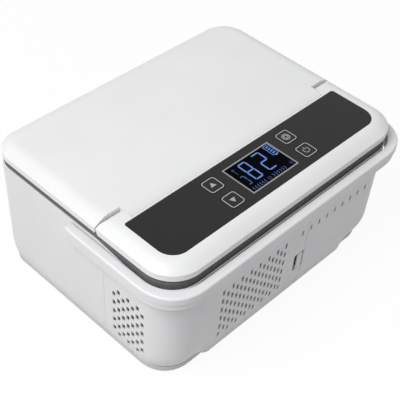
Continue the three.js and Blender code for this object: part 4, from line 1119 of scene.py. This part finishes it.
def make_lid():
    lower = math.degrees(math.asin((HINGE_Z - Z_LID) / KNUCKLE))
    knuckle = arc((HINGE_Y, HINGE_Z), KNUCKLE, 180, 180 + lower, KNUCKLE_STEPS)
    edge = [
        (HINGE_Y + LID_EDGE + (KNUCKLE + LID_EDGE) * across, HINGE_Z + KNUCKLE * up)
        for across, up in arc((0, 0), 1, 90, 180, LID_EDGE_STEPS)[:-1]
    ]
    rear, above = CASE.y1 + PAST, Z_TOP + PAST
    profile = [(rear, Z_LID), (rear, above), (HINGE_Y + LID_EDGE, above), *edge, *knuckle]
    middle = EAR_X - EAR_GAP
    space = prism(profile, (-middle, middle), "X")
    join(space, block(EVERY_X, (Y_SHOULDER, rear), (Z_LID, above)))
    lid = keep(top_block(), space)
    cut(lid, lid_space(), *pin_bores())
    soften(lid, 0.45, segments=3, limit=28)
    return dress(lid, "lid_top", "lid", "white_top", TOP_WHITE, "lid_shell")


def ear_space(side):
    x = (EAR_X, CASE.x1 + PAST) if side > 0 else (CASE.x0 - PAST, -EAR_X)
    lower = math.degrees(math.asin((HINGE_Z - Z_UNDER) / KNUCKLE))
    front, above = Y_LID_SEAM - WALL, Z_TOP + PAST
    barrel = arc((HINGE_Y, HINGE_Z), KNUCKLE, 90, -lower, BARREL_STEPS)
    return prism([(front, Z_UNDER), (front, above), (HINGE_Y, above), *barrel], x, "X")


def key_plan(key):
    low, high = node_box(f"key_{key}")
    outer_radius = KEY_RADIUS + KEY_FLANGE
    return grown(plan_of(low, high, outer_radius, outer_radius), -KEY_FLANGE)


def control_holes():
    span = (Z_TOP - HOUSING_SKIN - PAST, Z_TOP + PAST)
    return [slab(grown(plan, GAP), *span) for plan in (*(key_plan(key) for key in KEYS), DISPLAY)]


def make_control_housing():
    front, above = CASE.y0 - PAST, Z_TOP + PAST
    chamfer_y = Y_LID_SEAM - SEAM_CHAMFER
    seam = [
        (front, Z_UNDER), (Y_LID_SEAM, Z_UNDER), (Y_LID_SEAM, Z_TOP - SEAM_CHAMFER),
        (chamfer_y, Z_TOP), (chamfer_y, above), (front, above),
    ]
    space = prism(seam, EVERY_X, "X")
    join(space, ear_space(-1), ear_space(1))
    housing = keep(top_block(), space)
    cavity = keep(
        loft(CASE, top_levels(WALL, HOUSING_SKIN)),
        block(EVERY_X, (front, Y_LID_SEAM - WALL), EVERY_Z),
    )
    seat = slab(grown(PANEL, GAP), panel_low[2], above)
    cut(housing, cavity, seat, *pin_bores(), *control_holes())
    soften(housing, 0.4, segments=3, limit=28)
    return dress(housing, "control_top", "case", "white_top", TOP_WHITE, "control_housing")


def make_control_panel():
    panel = cut(slab(PANEL, panel_low[2], panel_high[2]), *control_holes())
    return dress(soften(panel, 0.12), "panel_film", "case", "dark_panel", DARK_FILM, "control_panel")


# Layout of the display's marks, as shares of its width and of its depth, with line widths in millimetres
FIRST_DIGIT = ((0.265, 0.405), (0.125, 0.71))
SECOND_DIGIT = ((0.565, 0.715), (0.11, 0.70))
BRACKET = ((0.1, 0.165), (0.43, 0.72))
BATTERY_FRAME = (0.852, 0.964, 0.07, 0.42)
BATTERY_TIP = (0.888, 0.928, 0.43, 0.46)
BATTERY_LEVELS = 4
LEVEL_ACROSS = (0.881, 0.935)
LEVEL_FIRST = 0.115
LEVEL_PITCH = 0.073
LEVEL_DEPTH = 0.036
CHEVRON_COUNT = 6
CHEVRON_PITCH = 0.05
CHEVRON_ROW = 0.875
LEFT_CHEVRONS = 0.085
RIGHT_CHEVRONS = 0.52
THERMOMETER_PLACE = (0.135, 0.16)
FAN_MARK_PLACE = (0.432, 0.88)
SNOW_MARK_PLACE = (0.93, 0.86)
DIGIT_LINE = 0.95
BRACKET_LINE = 0.55
BATTERY_LINE = 0.42
SNOW_LINE = 0.36


# Keys, display and what is printed on them

def centre(plan):
    return (plan.x0 + plan.x1) / 2, (plan.y0 + plan.y1) / 2


def ring_print(plan, width, z):
    return cut(slab(plan, z, z + PRINT_HEIGHT), slab(plan, z - PAST, z + PAST, width))


def triangle_icon(middle, up, z):
    half_width, below, above = 2.2, 1.32, 2.31
    x, y = middle
    points = [(x - half_width, y - up * below), (x + half_width, y - up * below), (x, y + up * above)]
    return prism(points, (z, z + PRINT_HEIGHT), "Z")


def annulus(middle, radius, width, z, start=0, end=360):
    """A ring, or an open part of one between two angles."""
    if end - start >= 360:
        ring = rod(radius, (z, z + PRINT_HEIGHT), middle, "Z")
        return cut(ring, rod(radius - width, (z - PAST, z + PAST), middle, "Z"))
    outer = arc(middle, radius, start, end, RING_STEPS)
    inner = arc(middle, radius - width, end, start, RING_STEPS)
    return prism([*outer, *inner], (z, z + PRINT_HEIGHT), "Z")


def mode_icon(middle, z):
    """A fan in a ring."""
    petal_count, petal_radius, petal_reach, petal_sides = 6, 0.6, 1.5, 12
    icon = annulus(middle, radius=2.9, width=0.5, z=z)
    petals = []
    for number in range(petal_count):
        angle = 2 * math.pi * number / petal_count
        tip = (middle[0] + petal_reach * math.cos(angle), middle[1] + petal_reach * math.sin(angle))
        petals.append(rod(petal_radius, (z, z + PRINT_HEIGHT), tip, "Z", petal_sides))
    return join(icon, *petals)


def power_icon(middle, z):
    """An open ring with a bar at the top."""
    bar_half, bar_low, bar_high = 0.26, 0.5, 3
    icon = annulus(middle, radius=2.4, width=0.52, z=z, start=125, end=415)
    x, y = middle
    return join(icon, block((x - bar_half, x + bar_half), (y + bar_low, y + bar_high), (z, z + PRINT_HEIGHT)))


def make_key(key):
    plan = key_plan(key)
    low, high = node_box(f"key_{key}")
    cap = slab(plan, low[2], high[2])
    flange_top = low[2] + KEY_FLANGE_HEIGHT
    join(cap, slab(grown(plan, KEY_FLANGE), low[2], flange_top))
    dress(soften(cap, 0.15), f"{key}_cap", f"{key}_key", "dark_panel", DARK_FILM, f"key_{key}")
    z = high[2]
    middle = centre(plan)
    mark = {
        "up": lambda: triangle_icon(middle, 1, z),
        "down": lambda: triangle_icon(middle, -1, z),
        "mode": lambda: mode_icon(middle, z),
        "power": lambda: power_icon(middle, z),
    }[key]()
    join(mark, ring_print(grown(plan, -KEY_PRINT_INSET), KEY_PRINT_WIDTH, z))
    dress(smooth(mark), f"{key}_print", f"{key}_key", "dark_panel", PRINT_GREY)


def on_display(u, w):
    """A point on the display: u from its left side to its right, w from its rear edge to its front edge."""
    return DISPLAY.x0 + u * (DISPLAY.x1 - DISPLAY.x0), DISPLAY.y1 - w * (DISPLAY.y1 - DISPLAY.y0)


def bar(start, end, width):
    """Outline of a segment with pointed ends between two points."""
    along = Vector(end) - Vector(start)
    step = along.normalized() * width / 2
    side = Vector((-step.y, step.x))
    a, b = Vector(start), Vector(end)
    return [tuple(p) for p in (a, a + step - side, b - step - side, b, b - step + side, a + step + side)]


SEGMENTS = {
    "a": ((0, 0), (1, 0)), "b": ((1, 0), (1, 0.5)), "c": ((1, 0.5), (1, 1)), "d": ((0, 1), (1, 1)),
    "e": ((0, 0.5), (0, 1)), "f": ((0, 0), (0, 0.5)), "g": ((0, 0.5), (1, 0.5)),
}


def digit_bars(u_span, w_span, lit_segments, width, gap=0.12):
    bars = []
    for name in lit_segments:
        ends = []
        for across, down in SEGMENTS[name]:
            ends.append(Vector(on_display(
                u_span[0] + across * (u_span[1] - u_span[0]), w_span[0] + down * (w_span[1] - w_span[0])
            )))
        inward = (ends[1] - ends[0]).normalized() * gap
        bars.append(bar(ends[0] + inward, ends[1] - inward, width))
    return bars


def marks(outlines, z):
    """One piece from several separate flat outlines."""
    first, *others = [prism(points, (z, z + PRINT_HEIGHT), "Z") for points in outlines]
    return join(first, *others) if others else first


def rectangle(u0, u1, w0, w1):
    (x0, y1), (x1, y0) = on_display(u0, w0), on_display(u1, w1)
    return [(x0, y0), (x1, y0), (x1, y1), (x0, y1)]


def frame_bars(u0, u1, w0, w1, width):
    corners = [on_display(u0, w0), on_display(u1, w0), on_display(u1, w1), on_display(u0, w1)]
    return [bar(corners[i], corners[(i + 1) % 4], width) for i in range(4)]


def battery_mark(z):
    outlines = frame_bars(*BATTERY_FRAME, BATTERY_LINE)
    for number in range(BATTERY_LEVELS):
        w = LEVEL_FIRST + LEVEL_PITCH * number
        outlines.append(rectangle(*LEVEL_ACROSS, w, w + LEVEL_DEPTH))
    outlines.append(rectangle(*BATTERY_TIP))
    return marks(outlines, z)


def chevrons(u_first, opening, z):
    """A row of small brackets, opening to the left or the right."""
    depth, half, width = 0.75, 1.35, 0.42
    near, far = -opening * depth / 2, opening * depth / 2
    points = [
        (near, half), (near + width, half), (far + width, 0),
        (near + width, -half), (near, -half), (far, 0),
    ]
    shape = prism(points, (0, PRINT_HEIGHT), "Z")
    shares = [u_first + CHEVRON_PITCH * number for number in range(CHEVRON_COUNT)]
    return copies_at([(*on_display(u, CHEVRON_ROW), z) for u in shares], shape, DIM_BLUE)


def snow_mark(radius, z):
    middle = Vector(on_display(*SNOW_MARK_PLACE))
    outlines = []
    for number in range(3):
        angle = math.radians(30 + 60 * number)
        reach = Vector((math.cos(angle), math.sin(angle))) * radius
        outlines.append(bar(middle - reach, middle + reach, SNOW_LINE))
    return marks(outlines, z)


def violet_marks(z):
    """A thermometer, a ring for the fan and a snow star."""
    x, y = on_display(*THERMOMETER_PLACE)
    stem_half, stem_top, stem_end = 0.3, 0.8, 4.6
    stem = [
        (x - stem_half, y - stem_end), (x + stem_half, y - stem_end),
        (x + stem_half, y - stem_top), (x - stem_half, y - stem_top),
    ]
    bulb_radius, bulb_sides, snow_radius = 1.0, 20, 2.0
    bulb = rod(bulb_radius, (z, z + PRINT_HEIGHT), (x, y), "Z", bulb_sides)
    fan = annulus(on_display(*FAN_MARK_PLACE), radius=1.35, width=0.5, z=z)
    return join(bulb, marks([stem], z), snow_mark(snow_radius, z), fan)


def make_display():
    opening = slab(DISPLAY, bezel_low[2] - PAST, Z_TOP, BEZEL_WIDTH)
    bezel = cut(slab(DISPLAY, bezel_low[2], bezel_high[2]), opening)
    dress(soften(bezel, 0.15), "bezel_frame", "case", "bezel_metal", BEZEL_METAL, "display_bezel")
    window = slab(DISPLAY, glass_low[2], glass_high[2], BEZEL_WIDTH + GAP)
    dress(soften(window, 0.1), "display_window", "case", "display_glass", GLASS, "display_glass")
    z = glass_high[2]
    digits = digit_bars(*FIRST_DIGIT, "abcdefg", DIGIT_LINE)
    digits += digit_bars(*SECOND_DIGIT, "abged", DIGIT_LINE)
    dress(smooth(marks(digits, z)), "lit_digits", "case", "display_glass", LIT_BLUE)
    dress(smooth(battery_mark(z)), "lit_battery_mark", "case", "display_glass", LIT_BLUE)
    bracket = digit_bars(*BRACKET, "abcd", BRACKET_LINE)
    row = join(marks(bracket, z), chevrons(LEFT_CHEVRONS, -1, z), chevrons(RIGHT_CHEVRONS, 1, z))
    dress(smooth(row), "dim_marks", "case", "display_glass", DIM_BLUE)
    dress(smooth(violet_marks(z)), "violet_marks", "case", "display_glass", DIM_VIOLET)


# Carry handle

def handle_section(gap, reach):
    """The handle's cross-section as distance from the wall and height: a bead over a set-in lower band."""
    z0, z1 = handle_low[2], handle_high[2]
    z_blend = z1 - BEAD_HEIGHT - BLEND_BELOW
    lower = min(reach, max(reach, ARM_REACH) - HANDLE_STEP)
    points = [(gap, z0 + HANDLE_EDGE)]
    points += arc((lower - HANDLE_EDGE, z0 + HANDLE_EDGE), HANDLE_EDGE, 270, 360, HANDLE_EDGE_STEPS)
    for step in range(1, BEAD_STEPS):
        share = step / BEAD_STEPS
        points.append((lower + (reach - lower) * eased(share), z_blend + BLEND_HEIGHT * share))
    points += arc((reach - BEAD_ROUND, z1 - BEAD_ROUND), BEAD_ROUND, 0, 90, BEAD_STEPS)
    points += [(gap + HANDLE_EDGE / 3, z1), (gap, z1 - HANDLE_EDGE / 3)]
    return points


def handle_stations():
    """Places round the front: a wall point, its outward direction, and the handle's gap and reach."""
    end = PIVOT_Y + HANDLE_HALF
    half = []
    for step in range(ARM_STEPS + 1):
        share = step / ARM_STEPS
        ease = share * share * (3 - 2 * share)
        y = end - (ARM_TAPER + HANDLE_HALF) * share
        half.append((CASE.x0, y, -1, 0, ARM_GAP, ARM_END_REACH + (ARM_REACH - ARM_END_REACH) * ease))
    for step in range(CORNER_STEPS + 1):
        swing = math.radians(90 * step / CORNER_STEPS)
        across, along = math.cos(math.pi + swing), math.sin(math.pi + swing)
        x = CASE.x0 + FRONT_RADIUS * (1 + across)
        y = CASE.y0 + FRONT_RADIUS * (1 + along)
        front = along * along
        corner = HANDLE_OUTSET * math.sin(2 * swing) ** 2
        gap = ARM_GAP + (HANDLE_GAP - ARM_GAP) * front
        half.append((x, y, across, along, gap, ARM_REACH + (HANDLE_REACH - ARM_REACH) * front + corner))
    return half + [(-x, y, -across, along, gap, reach) for x, y, across, along, gap, reach in reversed(half)]


def make_handle():
    rings = []
    for x, y, across, along, gap, reach in handle_stations():
        section = handle_section(gap, reach)
        rings.append([(x + across * offset, y + along * offset, z) for offset, z in section])
    handle = turn_faces_out(skin(rings))
    wide = (CASE.x0 - HANDLE_REACH - PAST, CASE.x1 + HANDLE_REACH + PAST)
    ends = block(wide, (CASE.y0 - HANDLE_REACH - PAST, PIVOT_Y), EVERY_Z)
    join(ends, rod(HANDLE_HALF, wide, (PIVOT_Y, PIVOT_Z), "X"))
    socket = CASE.x1 + HANDLE_SOCKET_DEPTH
    keep(handle, ends)
    cut(handle, rod(HANDLE_SOCKET, (-socket, socket), (PIVOT_Y, PIVOT_Z), "X"))
    return dress(soften(handle, 0.4), "carry_bar", "carry_handle", "white_shell", SHELL_WHITE, "handle")


# Cold chamber and the lid's underside

def make_tub():
    floor, rim = tub_low[2], tub_high[2]
    tub = join(slab(TUB, floor, rim), slab(grown(TUB, TUB_FLANGE), deck_high[2], rim))
    levels = fillet_levels(TUB_WALL, floor + TUB_WALL, TUB_FILLET, TUB_FILLET_STEPS)
    cut(tub, loft(TUB, [*levels, (TUB_WALL, rim + PAST)]))
    return dress(soften(tub, 0.5), "cold_chamber_tub", "case", "tub_aluminium", ALUMINIUM, "cold_tub")


def make_deck():
    deck = slab(CASE, deck_low[2], deck_high[2], FLANGE_WIDTH + GAP)
    cut(
        deck,
        slab(grown(TUB, GAP), deck_low[2] - PAST, deck_high[2] + PAST),
        block(EVERY_X, (CASE.y0 - PAST, Y_LID_SEAM), EVERY_Z),
        magnet_room("deck_magnet", (node_box("deck_magnet")[0][2], Z_TOP)),
    )
    return dress(soften(deck, 0.4), "deck_plate", "case", "inner_plastic", INNER_WHITE, "chamber_deck")


def make_liner():
    plate_low = node_box("lid_magnet")[0][2]
    inset = TUB_WALL + PLUG_CLEARANCE
    levels = fillet_levels(inset, liner_low[2], LINER_FILLET, LINER_FILLET_STEPS)
    liner = join(slab(LINER, plate_low, liner_high[2]), loft(TUB, [*levels, (inset, plate_low + PAST)]))
    cut(liner, magnet_room("lid_magnet", (plate_low - PAST, liner_high[2] + PAST)))
    return dress(soften(liner, 0.5), "lid_lining", "lid", "inner_plastic", INNER_WHITE, "lid_liner")


def make_seal():
    low, high = node_box("lid_seal")
    outer = plan_of(low, high, TUB_RADIUS + SEAL_MARGIN, TUB_RADIUS + SEAL_MARGIN)
    seal = cut(slab(outer, low[2], high[2]), slab(outer, low[2] - PAST, high[2] + PAST, SEAL_WIDTH))
    return dress(soften(seal, 0.7, segments=3), "seal_ring", "lid", "gasket_rubber", GASKET_GREY, "lid_seal")


# Feet, screws, supply socket and fan

def make_feet():
    nodes = [f"foot_{corner}" for corner in ("front_left", "front_right", "rear_left", "rear_right")]
    places = [(*node_middle(name)[:2], 0) for name in nodes]
    low, high = node_box(nodes[-1])
    radius, height = (high[0] - low[0]) / 2, high[2]
    foot = turned([
        (radius - 1.6, 0.0), (radius - 0.9, 0.0), (radius - 0.35, 0.2), (radius, 0.75), (radius, height),
    ])
    feet = copies_at(places, foot, FOOT_GREY)
    return dress(smooth(feet), "rubber_feet", "case", "rubber_foot", FOOT_GREY, *nodes)


def make_screws():
    low, high = node_box(SCREWS[0])
    head, length = (high[0] - low[0]) / 2, high[2] - low[2]
    shank, point_length = head * 0.47, 1.2
    screw = turned([
        (head - 0.5, 0), (head - 0.12, 0.15), (head, 0.45), (head, SCREW_HEAD_HEIGHT),
        (shank, SCREW_HEAD_HEIGHT), (shank, length - point_length), (shank * 0.3, length),
    ])
    cross_reach, cross_half, cross_depth = 1.8, 0.28, 0.7
    for x, y in ((cross_half, cross_reach), (cross_reach, cross_half)):
        cut(screw, block((-x, x), (-y, y), (-PAST, cross_depth)))
    places = [(x, y, low[2]) for x, y in screw_places()]
    screws = copies_at(places, screw, STEEL)
    return dress(smooth(screws), "base_screws", "case", "screw_steel", STEEL, *SCREWS)


def make_supply_socket():
    low, high = node_box("dc_socket")
    place = node_middle("dc_socket")[::2]
    radius, face = (high[0] - low[0]) / 2, high[1]
    rim_width, rim_depth = 1.6, 0.6
    bore_radius, bore_depth = 2, 8
    pin_radius, pin_root, pin_tip, pin_sides = 0.6, 8.5, 1.4, 20
    socket = rod(radius, (low[1], face), place, "Y")
    cut(socket, rod(radius - rim_width, (face - rim_depth, face + PAST), place, "Y"))
    cut(socket, rod(bore_radius, (face - bore_depth, face + PAST), place, "Y"))
    dress(soften(socket, 0.3), "supply_inlet", "case", "black_plastic", BLACK, "dc_socket")
    pin = rod(pin_radius, (face - pin_root, face - pin_tip), place, "Y", pin_sides)
    dress(soften(pin, 0.2), "supply_inlet_pin", "case", "screw_steel", STEEL)


def make_fan():
    middle = joint_place("fan_spin")
    low, high = node_box("fan_rotor")
    hub, count, chord, steps = 10, 7, 10, 8
    root_lap, tip_gap, front_gap, rear_gap = 0.6, 0.3, 0.2, 0.1
    root, tip = hub - root_lap, (high[0] - low[0]) / 2 - tip_gap
    root_pitch, tip_pitch = 44, 30
    most_camber, blade_thickness = 0.9, 0.9
    vertices, faces = [], []
    for row in range(steps + 1):
        radius = root + (tip - root) * row / steps
        pitch = math.radians(root_pitch + (tip_pitch - root_pitch) * row / steps)
        for column in range(steps + 1):
            along = (column / steps - 0.5) * chord
            camber = most_camber * (1 - (2 * column / steps - 1) ** 2)
            x = along * math.cos(pitch) - camber * math.sin(pitch)
            y = along * math.sin(pitch) + camber * math.cos(pitch)
            vertices.append((x, y, math.sqrt(max(radius * radius - x * x, 1))))
    for row in range(steps):
        for column in range(steps):
            a = row * (steps + 1) + column
            faces.append((a, a + 1, a + steps + 2, a + steps + 1))
    blade = new_solid(vertices, faces)
    thickness = blade.modifiers.new("thickness", "SOLIDIFY")
    thickness.thickness = blade_thickness * MM
    thickness.offset = 0
    settle(blade)
    blades = run_tree(blade, BLADES_TREE, Count=count, Material=BLACK)
    place = (middle[0], (low[1] + high[1]) / 2, middle[2])
    blades.data.transform(Matrix.Translation([v * MM for v in place]))
    boss_y = (low[1] + front_gap, high[1] - rear_gap)
    boss = soften(rod(hub, boss_y, middle[::2], "Y"), 0.8, segments=3)
    turn_faces_out(blades)
    dress(smooth(blades), "fan_blades", "fan", "black_plastic", BLACK, "fan_rotor")
    dress(boss, "fan_hub", "fan", "black_plastic", BLACK)


# Nodes whose own shape is right
NODE_FINISHES = {
    "insulation": FOAM, "lid_foam": FOAM, "deck_magnet": NICKEL, "lid_magnet": NICKEL,
    "cold_block": ALUMINIUM, "peltier_module": CERAMIC, "heat_sink": ALUMINIUM, "fan_frame": BLACK,
    "power_board": BOARD, "battery_lid": INNER_WHITE, "battery_contacts": BRASS, "battery_socket": BLACK,
    "battery_cell_1": CELL_WRAP, "battery_cell_2": CELL_WRAP, "battery_cell_3": CELL_WRAP,
    "battery_cell_4": CELL_WRAP, "display_module": BLACK, "control_board": BOARD, "switch_up": BLACK,
    "switch_down": BLACK, "switch_mode": BLACK, "switch_power": BLACK, "hinge_pin_left": STEEL,
    "hinge_pin_right": STEEL, "handle_pin_left": STEEL, "handle_pin_right": STEEL,
}


def finish_nodes():
    for name, material in NODE_FINISHES.items():
        mesh = frame["nodes"][name].data
        mesh.materials.clear()
        mesh.materials.append(material)


# Camera, light and floor
CAMERA_PLACE = (-352.48, -305.56, 483.18)
CAMERA_AZIMUTH = -48.99
CAMERA_ELEVATION = 43.44
CAMERA_ROLL = 4.77
CAMERA_LENS = 85.885
SENSOR = 36
AMBIENT_COLOUR = (0.97, 0.98, 1.0, 1)
AMBIENT_STRENGTH = 0.44
FLOOR_HALF = 3000
FLOOR_WHITE_SHARE = 0.93


def make_camera():
    azimuth, elevation, roll = (math.radians(a) for a in (CAMERA_AZIMUTH, CAMERA_ELEVATION, CAMERA_ROLL))
    right = Vector((math.cos(azimuth), math.sin(azimuth), 0))
    back = Vector((
        math.sin(azimuth) * math.cos(elevation), -math.cos(azimuth) * math.cos(elevation), math.sin(elevation)
    ))
    up = back.cross(right)
    across = right * math.cos(roll) + up * math.sin(roll)
    upright = up * math.cos(roll) - right * math.sin(roll)
    data = bpy.data.cameras.new("camera")
    data.lens = CAMERA_LENS
    data.sensor_width = SENSOR
    camera = bpy.data.objects.new("camera", data)
    turn = Matrix((across, upright, back)).transposed().to_4x4()
    camera.matrix_world = Matrix.Translation(Vector(CAMERA_PLACE) * MM) @ turn
    bpy.context.scene.collection.objects.link(camera)
    bpy.context.scene.camera = camera


def area_light(name, place, size, power):
    data = bpy.data.lights.new(name, "AREA")
    data.shape = "DISK"
    data.size = size
    data.energy = power
    light = bpy.data.objects.new(name, data)
    light.location = place
    light.rotation_euler = (-Vector(place)).to_track_quat("-Z", "Y").to_euler()
    bpy.context.scene.collection.objects.link(light)


def seen_rays(nodes, links):
    """One for rays that show the surroundings: straight to the camera, in gloss or through glass."""
    path = nodes.new("ShaderNodeLightPath")
    total = path.outputs["Is Camera Ray"]
    for ray in ("Is Glossy Ray", "Is Transmission Ray"):
        most = nodes.new("ShaderNodeMath")
        most.operation = "MAXIMUM"
        links.new(total, most.inputs[0])
        links.new(path.outputs[ray], most.inputs[1])
        total = most.outputs[0]
    return total


def make_world():
    world = bpy.data.worlds.new("studio")
    bpy.context.scene.world = world
    world.use_nodes = True
    nodes, links = world.node_tree.nodes, world.node_tree.links
    ambient = nodes["Background"]
    ambient.inputs["Color"].default_value = AMBIENT_COLOUR
    ambient.inputs["Strength"].default_value = AMBIENT_STRENGTH
    backdrop = nodes.new("ShaderNodeBackground")
    backdrop.inputs["Color"].default_value = (1, 1, 1, 1)
    mix = nodes.new("ShaderNodeMixShader")
    links.new(seen_rays(nodes, links), mix.inputs["Fac"])
    links.new(ambient.outputs["Background"], mix.inputs[1])
    links.new(backdrop.outputs["Background"], mix.inputs[2])
    links.new(mix.outputs["Shader"], nodes["World Output"].inputs["Surface"])


def make_floor():
    half = FLOOR_HALF
    corners = [(-half, -half, 0), (half, -half, 0), (half, half, 0), (-half, half, 0)]
    floor = new_solid(corners, [(0, 1, 2, 3)], "floor")
    finish = Finish("pale_floor", (0.48, 0.48, 0.48), 0.9, specular=0.1)
    finish.vary_roughness(finish.noise(grain=80), spread=0.04)
    nodes, links = finish.nodes, finish.links
    seen = seen_rays(nodes, links)
    finish.vary_colour(seen, (0.97, 0.97, 0.97), low=0, high=1)
    white = nodes.new("ShaderNodeEmission")
    white.inputs["Color"].default_value = (1, 1, 1, 1)
    share = nodes.new("ShaderNodeMath")
    share.operation = "MULTIPLY"
    share.inputs[1].default_value = FLOOR_WHITE_SHARE
    links.new(seen, share.inputs[0])
    mix = nodes.new("ShaderNodeMixShader")
    links.new(share.outputs[0], mix.inputs["Fac"])
    links.new(finish.shader.outputs["BSDF"], mix.inputs[1])
    links.new(white.outputs["Emission"], mix.inputs[2])
    links.new(mix.outputs["Shader"], nodes["Material Output"].inputs["Surface"])
    floor.data.materials.append(finish.material)


make_outer_shell()
make_base_plate()
make_vent_cover()
make_release_tab()
make_battery_pack()
make_gasket()
make_lid()
make_control_housing()
make_control_panel()
for key_name in KEYS:
    make_key(key_name)
make_display()
make_handle()
make_tub()
make_deck()
make_liner()
make_seal()
make_feet()
make_screws()
make_supply_socket()
make_fan()
finish_nodes()

make_camera()
make_world()
make_floor()
area_light("key", place=(-0.92, 0.03, 1.22), size=0.9, power=15.6)
area_light("fill", place=(0.9, -0.9, 0.9), size=1.2, power=0.6)
bpy.context.scene.view_settings.view_transform = "Standard"
